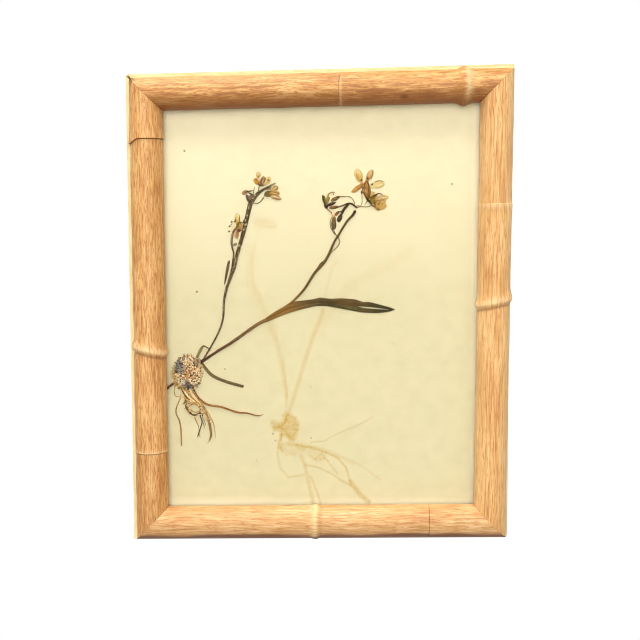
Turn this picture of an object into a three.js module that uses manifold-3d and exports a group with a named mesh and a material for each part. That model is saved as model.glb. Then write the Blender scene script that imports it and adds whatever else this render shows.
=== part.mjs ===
// A dried spring wildflower pressed on a cream sheet, glazed, in a frame of bamboo-carved rails.
// Millimetres. Everything is drawn facing the picture: x to the right, y up, z towards the viewer,
// with z = 0 on the back of the rails and x = y = 0 in the middle of the sight opening.
// The whole picture is then stood upright, with the hanger's middle notch over the origin.
import * as THREE from 'three';
import { mergeVertices } from 'three/addons/utils/BufferGeometryUtils.js';
import Module from 'manifold-3d';

const wasm = await Module();
wasm.setup();

// Glazing: a standard 8 by 10 inch pane.
const PANE_WIDTH = 203.2;
const PANE_HEIGHT = 254;
const PANE_THICKNESS = 2;

// Moulding: a half round on a flat-sided base, rebated behind for the pane.
const SIGHT_WIDTH = 192;
const SIGHT_HEIGHT = 245;
const ROUND_WIDTH = 20;
const ROUND_HEIGHT = 10.5;
const LEDGES = { top: 2.2, left: 2.2, bottom: 0.8, right: 0.2 };
const RABBET_WIDTH = 6.1;
const RABBET_DEPTH = 9;
const LIP_EDGE = 1;
const WALL_HEIGHT = RABBET_DEPTH + LIP_EDGE;
const MITRE_GAP = 0.15;

// Carving: a cane joint is a raised ring with a hollow beside it, a saw line is a narrow groove.
const RING_HEIGHT = 1.4;
const RING_SPREAD = 2.8;
const HOLLOW_DEPTH = 0.6;
const HOLLOW_SPREAD = 1.6;
const HOLLOW_STEP = 4.2;
const SAW_DEPTH = 0.5;
const SAW_HALF_WIDTH = 0.6;
const JOINT_STEPS = [-6.5, -4, -2.2, -0.8, 0.8, 2.2, 3.2, 4.2, 5.4, 7];
const SLANT_SPREAD = 14;
const HALF_ROUND_SIDES = 14;

// The stack in the rabbet, from the lip backwards.
const SEAT_GAP = 0.05;
const PLANT_ROOM = 2.2;
const SHEET_THICKNESS = 0.4;
const SHEET_WIDTH = 202.4;
const SHEET_HEIGHT = 253.2;
const BOARD_THICKNESS = 2.5;
const PANE_BACK = RABBET_DEPTH - SEAT_GAP - PANE_THICKNESS;
const SHEET_FRONT = PANE_BACK - PLANT_ROOM;
const BOARD_BACK = SHEET_FRONT - SHEET_THICKNESS - SEAT_GAP - BOARD_THICKNESS;

// Back fittings.
const POINT_WIDTH = 6;
const POINT_THICKNESS = 0.5;
const POINT_REACH = 8;
const POINT_BURIED = 4.5;
const POINT_SPACING = 140;
const HANGER_LENGTH = 45;
const HANGER_HEIGHT = 9;
const HANGER_THICKNESS = 0.8;
const HANGER_STANDOFF = 1.2;
const HANGER_FOOT = 9;
const HANGER_CENTRE = SIGHT_HEIGHT / 2 + 14.2;
const TOOTH_PITCH = 3;
const TOOTH_DEPTH = 1.6;
const TOOTH_COUNT = 9;
const NAIL_RADIUS = 0.6;
const NAIL_HEAD_RADIUS = 1.5;
const NAIL_HEAD_THICKNESS = 0.5;
const NAIL_DEPTH = 7;
const HOLE_CLEARANCE = 0.3;
const ROUND_SIDES = 10;

// Pressed plant: how far each kind of piece stands off the sheet.
const PLANT_GAP = 0.3;
const STEM_THICKNESS = 1;
const ROOT_THICKNESS = 0.9;
const LEAF_THICKNESS = 0.45;
const PETAL_THICKNESS = 0.35;
const BUD_THICKNESS = 0.9;
const CROWN_THICKNESS = 1.9;
const CROWN_WIDTH = 17.4;
const CROWN_HEIGHT = 21;
const CROWN_CENTRE = [-83, -39.6];
const PLANT_FLOOR = SHEET_FRONT + 0.1;

// A closed geometry as a solid that can be cut and joined.
function solidOf(geometry) {
  const bare = geometry.clone();
  bare.deleteAttribute('normal');
  bare.deleteAttribute('uv');
  const welded = mergeVertices(bare, 1e-4);
  return new wasm.Manifold(new wasm.Mesh({
    numProp: 3,
    vertProperties: new Float32Array(welded.attributes.position.array),
    triVerts: new Uint32Array(welded.index.array),
  }));
}

function geometryOf(solid) {
  const mesh = solid.getMesh();
  const geometry = new THREE.BufferGeometry();
  geometry.setAttribute('position', new THREE.BufferAttribute(mesh.vertProperties.slice(), 3));
  geometry.setIndex(new THREE.BufferAttribute(mesh.triVerts.slice(), 1));
  geometry.computeVertexNormals();
  return geometry;
}

// Of a solid that a cut left in several bodies, the main one.
function mainBody(solid) {
  return solid.decompose().reduce((best, body) => (body.volume() > best.volume() ? body : best));
}

function joined(solids) {
  return solids.reduce((all, solid) => all.add(solid));
}

function named(name, geometry, colour, roughness, metalness = 0) {
  const material = new THREE.MeshStandardMaterial({ color: colour, roughness, metalness });
  const mesh = new THREE.Mesh(geometry, material);
  mesh.name = name;
  return mesh;
}

function box(width, height, depth, x, y, z) {
  return new THREE.BoxGeometry(width, height, depth).translate(x, y, z);
}

function peg(radius, from, to, x, y) {
  const geometry = new THREE.CylinderGeometry(radius, radius, to - from, ROUND_SIDES);
  return geometry.rotateX(Math.PI / 2).translate(x, y, (from + to) / 2);
}

// A section drawn out in steps, each of its points then moved to where the piece runs.
function drawn(section, steps, segments, place) {
  const options = { depth: 1, steps, curveSegments: segments, bevelEnabled: false };
  const geometry = new THREE.ExtrudeGeometry(section, options);
  const position = geometry.attributes.position;
  const spot = new THREE.Vector3();
  for (let i = 0; i < position.count; i += 1) {
    spot.fromBufferAttribute(position, i);
    place(spot);
    position.setXYZ(i, spot.x, spot.y, spot.z);
  }
  return geometry;
}

// Frame rails. Along a rail, s runs from its middle; across it, u runs outwards from the sight edge.
// The ledge is narrower on the bottom and right rails, so a wider ledge ends square on their walls.
function mouldingSection(ledge) {
  const section = new THREE.Shape();
  const widths = [...new Set(Object.values(LEDGES))].filter((width) => width <= ledge);
  section.moveTo(RABBET_WIDTH, 0);
  widths.sort((a, b) => a - b).forEach((width) => section.lineTo(ROUND_WIDTH + width, 0));
  section.lineTo(ROUND_WIDTH + ledge, WALL_HEIGHT);
  section.lineTo(ROUND_WIDTH, WALL_HEIGHT);
  section.absellipse(ROUND_WIDTH / 2, WALL_HEIGHT, ROUND_WIDTH / 2, ROUND_HEIGHT, 0, Math.PI, false);
  section.lineTo(0, RABBET_DEPTH);
  section.lineTo(RABBET_WIDTH, RABBET_DEPTH);
  section.lineTo(RABBET_WIDTH, 0);
  return section;
}

// How far the carving stands proud of the plain half round at s.
function carving(s, { joint, hollowSide, saws }) {
  const ring = RING_HEIGHT * Math.exp(-(((s - joint) / RING_SPREAD) ** 2));
  const hollowAt = joint + hollowSide * HOLLOW_STEP;
  const hollow = HOLLOW_DEPTH * Math.exp(-(((s - hollowAt) / HOLLOW_SPREAD) ** 2));
  const sawn = saws.map((at) => SAW_DEPTH * Math.max(0, 1 - Math.abs(s - at) / SAW_HALF_WIDTH));
  return ring - hollow - Math.max(0, ...sawn);
}

function railGeometry(side, carved) {
  const { length, meets } = SIDES[side];
  const { joint, hollowSide, saws, slant } = carved;
  const stations = JOINT_STEPS.map((step) => joint + hollowSide * step);
  saws.forEach((at) => stations.push(at - SAW_HALF_WIDTH, at, at + SAW_HALF_WIDTH));
  stations.sort((a, b) => a - b);
  const steps = stations.length + 1;
  return drawn(mouldingSection(LEDGES[side]), steps, HALF_ROUND_SIDES / 2, (spot) => {
    const station = Math.round(spot.z * steps);
    if (station === 0 || station === steps) {
      const end = station === 0 ? 0 : 1;
      const reach = Math.min(spot.x, ROUND_WIDTH + LEDGES[meets[end]]);
      spot.z = (end === 0 ? -1 : 1) * (length / 2 + reach - MITRE_GAP);
      return;
    }
    const s = stations[station - 1];
    const across = spot.x - ROUND_WIDTH / 2;
    const above = spot.y - WALL_HEIGHT;
    const nearJoint = Math.exp(-(((s - joint) / SLANT_SPREAD) ** 2));
    spot.z = s + slant * across * nearJoint;
    if (above > -0.01 && spot.x < ROUND_WIDTH + 0.01) {
      const proud = carving(s, carved) / Math.hypot(across, above);
      spot.x += across * proud;
      spot.y += above * proud;
    }
  });
}

// Rail frames: outward across the rail, along it, and the rails that its start and its end meet.
const SIDES = {
  top: {
    outward: [0, 1, 0], along: [1, 0, 0], length: SIGHT_WIDTH, middle: [0, SIGHT_HEIGHT / 2],
    meets: ['left', 'right'],
  },
  bottom: {
    outward: [0, -1, 0], along: [-1, 0, 0], length: SIGHT_WIDTH, middle: [0, -SIGHT_HEIGHT / 2],
    meets: ['right', 'left'],
  },
  left: {
    outward: [-1, 0, 0], along: [0, 1, 0], length: SIGHT_HEIGHT, middle: [-SIGHT_WIDTH / 2, 0],
    meets: ['bottom', 'top'],
  },
  right: {
    outward: [1, 0, 0], along: [0, -1, 0], length: SIGHT_HEIGHT, middle: [SIGHT_WIDTH / 2, 0],
    meets: ['top', 'bottom'],
  },
};

const CARVED = {
  top: { joint: 88, hollowSide: -1, saws: [11.6], slant: 0, colour: 0xd9a05c },
  bottom: { joint: 2.5, hollowSide: -1, saws: [-68], slant: 0, colour: 0xe6b274 },
  left: { joint: -23.5, hollowSide: -1, saws: [104.3, -89], slant: 0.1, colour: 0xe2aa66 },
  right: { joint: -4, hollowSide: 1, saws: [-62], slant: -0.3, colour: 0xe0a865 },
};

// The framer's points, given by the side they are driven into and their place along it.
const POINTS = [
  ['top', 0], ['bottom', 0],
  ['left', POINT_SPACING / 2], ['left', -POINT_SPACING / 2],
  ['right', POINT_SPACING / 2], ['right', -POINT_SPACING / 2],
];
const POINT_LEVEL = BOARD_BACK - SEAT_GAP - POINT_THICKNESS;
const NAILS_AT = [-(HANGER_LENGTH - HANGER_FOOT) / 2, (HANGER_LENGTH - HANGER_FOOT) / 2];

function setOnSide(mesh, side) {
  const { outward, along, middle } = SIDES[side];
  const basis = new THREE.Matrix4().makeBasis(
    new THREE.Vector3(...outward), new THREE.Vector3(0, 0, 1), new THREE.Vector3(...along));
  mesh.quaternion.setFromRotationMatrix(basis);
  mesh.position.set(middle[0], middle[1], 0);
  return mesh;
}

function rail(side) {
  let solid = solidOf(railGeometry(side, CARVED[side]));
  const room = POINT_THICKNESS + 2 * HOLE_CLEARANCE;
  POINTS.filter(([where]) => where === side).forEach(([, s]) => {
    const slot = box(2 * POINT_BURIED + 1, room, POINT_WIDTH + 2 * HOLE_CLEARANCE,
      RABBET_WIDTH, POINT_LEVEL + POINT_THICKNESS / 2, s);
    solid = solid.subtract(solidOf(slot));
  });
  if (side === 'top') {
    const radius = NAIL_RADIUS + HOLE_CLEARANCE;
    const depth = NAIL_DEPTH + HOLE_CLEARANCE;
    NAILS_AT.forEach((s) => {
      const hole = new THREE.CylinderGeometry(radius, radius, 2 * depth, ROUND_SIDES);
      hole.translate(HANGER_CENTRE - SIGHT_HEIGHT / 2, 0, s);
      solid = solid.subtract(solidOf(hole));
    });
  }
  return setOnSide(named(`rail_${side}`, geometryOf(solid), CARVED[side].colour, 0.5), side);
}

// A framer's point: a flat steel tongue, square where it is driven in and pointed over the board.
function framersPoint(side, s, index) {
  const half = POINT_WIDTH / 2;
  const tongue = new THREE.Shape();
  tongue.moveTo(POINT_BURIED, -half);
  tongue.lineTo(POINT_BURIED, half);
  tongue.lineTo(-POINT_REACH * 0.45, half);
  tongue.lineTo(-POINT_REACH, 0);
  tongue.lineTo(-POINT_REACH * 0.45, -half);
  const geometry = new THREE.ExtrudeGeometry(tongue, { depth: POINT_THICKNESS, bevelEnabled: false });
  geometry.rotateX(Math.PI / 2).translate(RABBET_WIDTH, POINT_LEVEL + POINT_THICKNESS, s);
  return setOnSide(named(`framers_point_${index + 1}`, geometry, 0x9a9a98, 0.35, 1), side);
}

// The sawtooth hanger: a stamped strip on two feet, toothed along the lower edge of its middle.
function hangerGeometry() {
  const lower = HANGER_CENTRE - HANGER_HEIGHT / 2;
  const upper = HANGER_CENTRE + HANGER_HEIGHT / 2;
  const half = HANGER_LENGTH / 2;
  const strip = new THREE.Shape();
  strip.moveTo(-half, upper);
  strip.lineTo(-half, lower);
  for (let i = 0; i < TOOTH_COUNT; i += 1) {
    const x = (i - TOOTH_COUNT / 2) * TOOTH_PITCH;
    strip.lineTo(x, lower);
    strip.lineTo(x + TOOTH_PITCH / 2, lower + TOOTH_DEPTH);
  }
  strip.lineTo((TOOTH_COUNT / 2) * TOOTH_PITCH, lower);
  strip.lineTo(half, lower);
  strip.lineTo(half, upper);
  const plate = new THREE.ExtrudeGeometry(strip, { depth: HANGER_THICKNESS, bevelEnabled: false });
  plate.translate(0, 0, -HANGER_STANDOFF - HANGER_THICKNESS);
  let solid = solidOf(plate);
  NAILS_AT.forEach((x) => {
    const depth = HANGER_STANDOFF;
    const foot = box(HANGER_FOOT, HANGER_HEIGHT, depth, x, HANGER_CENTRE, -depth / 2 - SEAT_GAP);
    solid = solid.add(solidOf(foot));
    const hole = peg(NAIL_RADIUS + HOLE_CLEARANCE, -NAIL_DEPTH, NAIL_DEPTH, x, HANGER_CENTRE);
    solid = solid.subtract(solidOf(hole));
  });
  return geometryOf(solid);
}

function nailGeometry(x) {
  const under = -HANGER_STANDOFF - HANGER_THICKNESS - SEAT_GAP;
  const head = peg(NAIL_HEAD_RADIUS, under - NAIL_HEAD_THICKNESS, under, x, HANGER_CENTRE);
  const shank = peg(NAIL_RADIUS, under - NAIL_HEAD_THICKNESS / 2, NAIL_DEPTH, x, HANGER_CENTRE);
  return geometryOf(joined([solidOf(head), solidOf(shank)]));
}

// A pressed strand: rounded above, flat below, its width given at each of its points.
// With spare room it is the space a neighbour keeps clear of.
function strand([points, widths], thickness, spare = 0) {
  const curve = new THREE.CatmullRomCurve3(points.map(([x, y]) => new THREE.Vector3(x, y, 0)));
  const steps = Math.max(3, Math.round(curve.getLength() / 3.6));
  const section = new THREE.Shape([
    [-0.3, 0], [0.3, 0], [0.5, 0.4], [0.28, 1], [-0.28, 1], [-0.5, 0.4],
  ].map(([x, y]) => new THREE.Vector2(x, y)));
  return solidOf(drawn(section, steps, 1, (spot) => {
    const step = Math.round(spot.z * steps);
    const t = step / steps;
    const centre = curve.getPoint(t);
    const heading = curve.getTangent(t);
    const place = t * (widths.length - 1);
    const before = Math.min(Math.floor(place), widths.length - 2);
    const grown = THREE.MathUtils.lerp(widths[before], widths[before + 1], place - before);
    const width = grown + 2 * spare;
    const run = spare * (step === 0 ? -1 : Number(step === steps));
    const height = spare > 0 ? PLANT_ROOM : Math.min(thickness, 0.8 * width);
    const lift = spare > 0 ? -0.1 : 0;
    const across = spot.x * width;
    spot.set(
      centre.x - heading.y * across + heading.x * run,
      centre.y + heading.x * across + heading.y * run,
      PLANT_FLOOR + lift + spot.y * height);
  }));
}

function strands(runs, thickness, spare) {
  return joined(runs.map((run) => strand(run, thickness, spare)));
}

// A petal, sepal or bud laid flat: an oval from its base to its tip, fullest a little past half way.
function oval([base, tip, width], thickness, spare = 0) {
  const from = new THREE.Vector2(...base);
  const axis = new THREE.Vector2(...tip).sub(from);
  const length = axis.length() + 2 * spare;
  const angle = axis.angle();
  const outline = [];
  for (let i = 0; i < 12; i += 1) {
    const turn = (i / 12) * Math.PI * 2;
    const along = length / 2 - spare + (length / 2) * Math.cos(turn);
    const across = (width / 2 + spare) * Math.sin(turn) * (1 + 0.22 * Math.cos(turn));
    outline.push(new THREE.Vector2(along, across).rotateAround(new THREE.Vector2(), angle).add(from));
  }
  const depth = spare > 0 ? PLANT_ROOM : thickness;
  const lift = spare > 0 ? -0.1 : 0;
  const geometry = new THREE.ExtrudeGeometry(new THREE.Shape(outline), { depth, bevelEnabled: false });
  return solidOf(geometry.translate(0, 0, PLANT_FLOOR + lift));
}

function ovals(list, thickness, spare) {
  return joined(list.map((one) => oval(one, thickness, spare)));
}

// The root crown: a lumpy corm pressed to a flat cake.
function crownSolid(spare = 0) {
  const geometry = new THREE.SphereGeometry(1, 20, 14);
  const position = geometry.attributes.position;
  const spot = new THREE.Vector3();
  for (let i = 0; i < position.count; i += 1) {
    spot.fromBufferAttribute(position, i);
    const broad = 0.07 * Math.sin(4.1 * spot.x + 5.3 * spot.y + 1);
    const lump = broad + 0.06 * Math.sin(7.3 * spot.y - 5.1 * spot.x + 0.5);
    const flat = Math.sign(spot.z) * Math.abs(spot.z) ** 0.6;
    const wide = 1 + lump * (1 - Math.abs(spot.z));
    position.setXYZ(i,
      CROWN_CENTRE[0] + spot.x * wide * (CROWN_WIDTH / 2 + spare),
      CROWN_CENTRE[1] + spot.y * wide * (CROWN_HEIGHT / 2 + spare),
      PLANT_FLOOR + (CROWN_THICKNESS / 2) * (1 + flat * (spare > 0 ? 1.1 : 1)));
  }
  return solidOf(geometry);
}

// Stems and roots: points from the base upwards in the sheet's plane, and widths along them.
const RIGHT_STEM = [
  [[[-76, -34], [-65, -26.8], [-54.9, -20.6], [-41, -10.8], [-35.2, -7.5]], [1.6, 1.6, 1.8, 1.9, 2]],
];
const LEFT_STEM = [
  [[[-74.5, -33.5], [-69, -24.3], [-64.6, -16.5], [-60.5, -4.1], [-60, 4.8], [-58.2, 12.7]],
    [1, 1, 1.1, 1.2, 1.3, 1.8]],
  [[[-58.4, 12.2], [-55.5, 20.2], [-51.5, 33.2], [-46.9, 48.5], [-44, 60.3], [-42.7, 65]],
    [1.6, 2, 2.1, 2.3, 2.7, 2.8]],
  [[[-42.9, 64.4], [-40.3, 68.5], [-37.1, 71.6], [-31.9, 74.8], [-27.4, 76.9]], [2.8, 2.5, 2, 1.5, 0.9]],
  [[[-56.5, 17.8], [-54.9, 25.3], [-53.6, 33.7], [-54.7, 40], [-54.7, 43.5], [-52.8, 49]],
    [1, 1, 1, 1.2, 1.1, 1]],
  [[[-39.1, 70.4], [-37.5, 73.1], [-36.9, 75.6]], [0.8, 0.7, 0.7]],
  [[[-41.3, 69.2], [-40.9, 71.6], [-40, 74.7]], [0.8, 0.7, 0.5]],
  [[[-42, 65.6], [-38.4, 64.7], [-36, 66.5], [-34.2, 68.8]], [0.9, 0.8, 0.8, 0.8]],
];
const UPPER_BRANCH = [
  [[[-15.4, 5.7], [-9.9, 12.2], [-3.8, 21.6], [3.3, 29.8], [10.5, 43.4], [17.1, 54.4], [20.8, 59.4]],
    [1.2, 1.4, 1.7, 1.8, 1.4, 1.5, 1.8]],
  [[[-1, 24.8], [0.6, 26.6], [2.2, 28.5]], [1.6, 3, 1.8]],
  [[[3.6, 32], [10.1, 37.5], [11.7, 40.3], [11, 43.1], [7.2, 48.1], [6.4, 52], [6.7, 55.4]],
    [0.7, 0.7, 0.7, 0.8, 0.7, 0.6, 0.6]],
  [[[9.6, 45.2], [8.9, 46.6], [8.5, 47.9]], [0.7, 0.6, 0.6]],
];
const FLOWER_STALKS = [
  [[[22.2, 61], [22.1, 62.8], [18.1, 64.1], [14.2, 63.7], [11.9, 62.7]], [1.3, 1.4, 1.2, 1.1, 1]],
  [[[16.6, 63.7], [14.8, 61.2], [14, 58.9]], [1.2, 1.5, 1.4]],
  [[[21.8, 63.2], [20.1, 66.4], [16.9, 68.7], [12.9, 68.7]], [0.9, 0.7, 0.7, 0.7]],
  [[[21.8, 62.7], [24.8, 62.8], [26.1, 64.8], [26.3, 69.1], [26, 70.6]], [1, 0.8, 0.7, 0.7, 0.8]],
  [[[21.9, 61.5], [24.8, 62.2], [28.2, 62], [30.4, 63]], [0.9, 0.8, 0.8, 0.8]],
];
const RUNNER = [
  [[[-80.7, -48], [-78.2, -53.4], [-74.4, -57.7], [-70.5, -60.1], [-59, -62.5], [-52.8, -64.9],
    [-46.6, -65.4], [-40.3, -67.1], [-36.2, -66.3]], [1.4, 1.5, 1.7, 1.8, 1.6, 1.3, 1, 0.8, 0.5]],
];
const FIBROUS_ROOTS = [
  [[[-87, -49], [-82.1, -56.7], [-76.3, -60.6], [-72.6, -65.9], [-70.3, -75.2], [-69.6, -79],
    [-70.7, -83.4]], [4, 4.4, 3.6, 2.6, 1.8, 1.6, 1.1]],
  [[[-81.5, -50.5], [-78.4, -57.5], [-74.2, -62.5]], [1.6, 1.8, 1.6]],
  [[[-84.8, -54], [-85.5, -58.2], [-84.2, -63], [-80.8, -66.4], [-76.4, -65.9], [-73, -64.8]],
    [1.6, 1.6, 1.4, 1.3, 1.2, 1.2]],
  [[[-74, -62.6], [-69.7, -67.3], [-67.4, -73.2], [-66.8, -81]], [1.2, 0.9, 0.8, 0.5]],
  [[[-80.6, -66.2], [-77.9, -72.8], [-76.8, -77.6]], [0.9, 0.7, 0.6]],
  [[[-75.6, -65.6], [-75.3, -72.2], [-76.9, -79.1], [-78.1, -81]], [1, 0.9, 0.8, 0.5]],
];
const LEFT_ROOT = [
  [[[-88.9, -53.4], [-90.9, -61.6], [-91.2, -65.5], [-89.1, -70.8], [-88.3, -80], [-88.2, -88.3]],
    [0.8, 0.7, 0.7, 0.7, 0.7, 0.5]],
  [[[-92.3, -47.5], [-92.3, -51], [-91.4, -54.2], [-89.3, -55.4]], [0.6, 0.6, 0.6, 0.6]],
];
const ROOT_STUB = [[[[-90.2, -44.8], [-93, -47.1], [-98.6, -51.4]], [1.2, 1.2, 1.1]]];
const BASAL_LEAF = [
  [[[-75, -32.2], [-72.3, -37.2], [-67.6, -42], [-59.6, -45.6], [-48.5, -48.8]], [1.7, 1.8, 1.9, 1.9, 1.9]],
];
const THIN_SHOOT = [[[[-77.4, -30.5], [-75.2, -25.8], [-73.1, -23.2], [-71.2, -24]], [1.5, 1.6, 0.9, 0.6]]];
const SHEATH_LEAF = [[[[-59.3, 17], [-58.1, 22], [-57.3, 26], [-56.5, 29.8]], [0.7, 1.6, 1.6, 1.3]]];

// The long leaf: its outline from the stem along the upper edge to the tip and back, and the slit in it.
const LONG_LEAF = [
  [-34.6, -6], [-29, -2.3], [-23, 1.2], [-17, 4.3], [-5.1, 5.6], [-0.4, 6.8], [6.1, 5.9], [12.6, 6.3],
  [21.5, 5.5], [26.7, 3.7], [29.7, 4], [35.6, 2.5], [42.1, 0.7], [46, -0.8], [42.1, -2.3], [35.1, -3.1],
  [24.4, -2.5], [15.5, -0.7], [3.1, 1.5], [-2.8, 1.5], [-11.1, -0.3], [-20.1, -2.9], [-27.2, -5.6],
  [-33.6, -8.4],
];
const LEAF_SLIT = [[22.9, 1.2], [26.7, 0.1], [33.5, -0.5], [42, -0.9], [34, 0.3], [27, 1]];

// Flowers and buds: each oval by its base, its tip and its width.
const FLOWERS = {
  flower_large: {
    petals: [
      [[26.8, 75.6], [22.3, 85.2], 5], [[28, 76.6], [32.7, 85], 3.8], [[28.4, 74.4], [40, 77], 4.8],
      [[28.2, 76.6], [19.6, 71], 2.7],
    ],
    calyx: [[[27, 78], [29, 68.6], 3.8], [[27, 76], [25.7, 71], 1.6]],
    colour: 0xe9bd72,
  },
  flower_half_closed: {
    petals: [
      [[31.5, 65.5], [32.8, 70.6], 3.4], [[31, 66], [38.6, 69.4], 2.8], [[31.5, 65.2], [41.8, 67.6], 3.4],
      [[32, 64.6], [40.8, 62], 4.6], [[32.4, 65], [36.2, 60.2], 3.4],
    ],
    calyx: [[[30, 67.6], [33.5, 62.4], 2.6]],
    colour: 0xe2b068,
  },
  flower_old: {
    petals: [
      [[3.7, 62.6], [1.7, 69.7], 2.6], [[3.9, 62.8], [5.7, 68.7], 2.6], [[5, 67.2], [8.8, 71.6], 1.3],
    ],
    calyx: [[[3.3, 61.7], [4.4, 65], 2]],
    colour: 0x9c7a3c,
  },
  flower_left_low: {
    petals: [
      [[-50.4, 50.5], [-51.3, 59.8], 3.2], [[-50.4, 49.4], [-52.4, 42.4], 3], [[-50, 50], [-47.2, 51], 2.4],
    ],
    calyx: [[[-52.2, 48.6], [-48.2, 52.8], 3.6]],
    colour: 0xdba860,
  },
  flower_top_left: {
    petals: [
      [[-36.7, 76.8], [-39.8, 80.2], 2.8], [[-39.2, 78.6], [-37.4, 84.2], 2.8],
      [[-37, 76.6], [-33, 80.8], 3.6], [[-36, 77], [-30.4, 80.6], 3],
    ],
    calyx: [[[-37.4, 76.2], [-34, 77.8], 2.6]],
    colour: 0xe0ac5e,
  },
  flower_top_right: {
    petals: [
      [[-31.5, 71.6], [-25.4, 75.4], 2.2], [[-31, 70.6], [-24.8, 71.4], 2.6],
      [[-31.5, 70], [-23.3, 66.6], 2.8],
    ],
    calyx: [[[-33.8, 69.3], [-29.4, 71.2], 4]],
    colour: 0xdca65c,
  },
};
const BUDS = {
  bud_left_low: { ovals: [[[-53.8, 39.7], [-51.3, 39.9], 1.7]], colour: 0x6a5a36 },
  bud_top_pale: {
    ovals: [[[-44.2, 72.6], [-47.7, 70.5], 2.7], [[-45.8, 72.4], [-41.4, 73], 1.1]], colour: 0x9a6a3a,
  },
  bud_top_dark: { ovals: [[[-44.4, 64.8], [-45.4, 70], 2.2]], colour: 0x4a3a2c },
  bud_stalked: { ovals: [[[11.4, 62.4], [5.9, 61.7], 2.2]], colour: 0x8a6a38 },
  bud_dark: { ovals: [[[10, 65.2], [5.6, 64], 2]], colour: 0x43302a },
  bud_upper: { ovals: [[[12.4, 68.6], [7.2, 66.6], 2.2]], colour: 0x7d6232 },
  bud_orange: { ovals: [[[12.6, 60], [9.2, 57.4], 2.2]], colour: 0xa8703c },
  capsule_olive: { ovals: [[[8.4, 48.4], [8.9, 56.6], 2.9]], colour: 0x6a5c34 },
  capsule_dark: { ovals: [[[13.4, 58.2], [11.5, 52.8], 3]], colour: 0x3c3a34 },
};

const picture = new THREE.Group();
picture.name = 'picture';
picture.rotation.x = Math.PI / 2;
picture.position.z = -(HANGER_CENTRE - HANGER_HEIGHT / 2 + TOOTH_DEPTH);

Object.keys(SIDES).forEach((side) => picture.add(rail(side)));

// The stack in the rabbet is flat sheets, each given by the level of its back.
function layer(width, height, back, thickness) {
  return box(width, height, thickness, 0, 0, back + thickness / 2);
}
const pane = layer(PANE_WIDTH, PANE_HEIGHT, PANE_BACK, PANE_THICKNESS);
const sheet = layer(SHEET_WIDTH, SHEET_HEIGHT, SHEET_FRONT - SHEET_THICKNESS, SHEET_THICKNESS);
const board = layer(PANE_WIDTH, PANE_HEIGHT, BOARD_BACK, BOARD_THICKNESS);
picture.add(named('glass_pane', pane, 0xeef4f0, 0.05));
picture.add(named('mount_sheet', sheet, 0xf6eac2, 0.9));
picture.add(named('backing_board', board, 0x9a7b56, 0.9));
POINTS.forEach(([side, s], index) => picture.add(framersPoint(side, s, index)));
picture.add(named('sawtooth_hanger', hangerGeometry(), 0xb8975a, 0.35, 1));
NAILS_AT.forEach((x, index) => {
  picture.add(named(`hanger_nail_${index + 1}`, nailGeometry(x), 0x8f8a80, 0.4, 1));
});

const plant = new THREE.Group();
plant.name = 'plant';
picture.add(plant);

// Each plant piece is cut back from the pieces it grows from, so that neighbours only come close.
const taken = [crownSolid(PLANT_GAP)];
function lay(name, solid, room, colour, roughness) {
  const clear = mainBody(taken.reduce((rest, space) => rest.subtract(space), solid));
  taken.push(room);
  plant.add(named(name, geometryOf(clear), colour, roughness));
}
function layStrands(name, runs, thickness, colour, roughness = 0.8) {
  lay(name, strands(runs, thickness), strands(runs, thickness, PLANT_GAP), colour, roughness);
}

plant.add(named('root_crown', geometryOf(crownSolid()), 0x8a6748, 0.95));
layStrands('stem_right', RIGHT_STEM, STEM_THICKNESS, 0x6b4a30);
layStrands('stem_left', LEFT_STEM, STEM_THICKNESS, 0x5a4630);
layStrands('sheath_leaf', SHEATH_LEAF, LEAF_THICKNESS, 0x6a5238);
layStrands('leaf_basal', BASAL_LEAF, LEAF_THICKNESS, 0x5f5836);
layStrands('shoot_thin', THIN_SHOOT, STEM_THICKNESS, 0x8a7a50);
layStrands('root_runner', RUNNER, ROOT_THICKNESS, 0x8c5a34);
layStrands('roots_fibrous', FIBROUS_ROOTS, ROOT_THICKNESS, 0xb08a58);
layStrands('root_left', LEFT_ROOT, ROOT_THICKNESS, 0xa88a58);
layStrands('root_stub', ROOT_STUB, ROOT_THICKNESS, 0x4c3a30);
layStrands('branch_upper', UPPER_BRANCH, STEM_THICKNESS, 0x6a5232);
layStrands('flower_stalks', FLOWER_STALKS, STEM_THICKNESS, 0x463628);

function leafSolid(spare) {
  const outline = new THREE.Shape(LONG_LEAF.map(([x, y]) => new THREE.Vector2(x, y)));
  if (spare === 0) {
    outline.holes.push(new THREE.Path(LEAF_SLIT.map(([x, y]) => new THREE.Vector2(x, y))));
  }
  const depth = spare > 0 ? PLANT_ROOM : LEAF_THICKNESS;
  const geometry = new THREE.ExtrudeGeometry(outline, { depth, bevelEnabled: false });
  return solidOf(geometry.translate(0, 0, PLANT_FLOOR));
}
lay('leaf_long', leafSolid(0), leafSolid(PLANT_GAP), 0x5c4a32, 0.8);

Object.entries(FLOWERS).forEach(([name, { petals, calyx, colour }]) => {
  const whole = ovals(petals, PETAL_THICKNESS).add(ovals(calyx, BUD_THICKNESS));
  lay(name, whole, ovals([...petals, ...calyx], PETAL_THICKNESS, PLANT_GAP), colour, 0.85);
});
Object.entries(BUDS).forEach(([name, { ovals: list, colour }]) => {
  lay(name, ovals(list, BUD_THICKNESS), ovals(list, BUD_THICKNESS, PLANT_GAP), colour, 0.85);
});

const part = new THREE.Group();
part.name = 'pressed_flower_frame';
part.add(picture);

export default part;
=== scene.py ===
import math

import bmesh
import bpy
import numpy as np
from mathutils import Matrix, Vector


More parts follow.
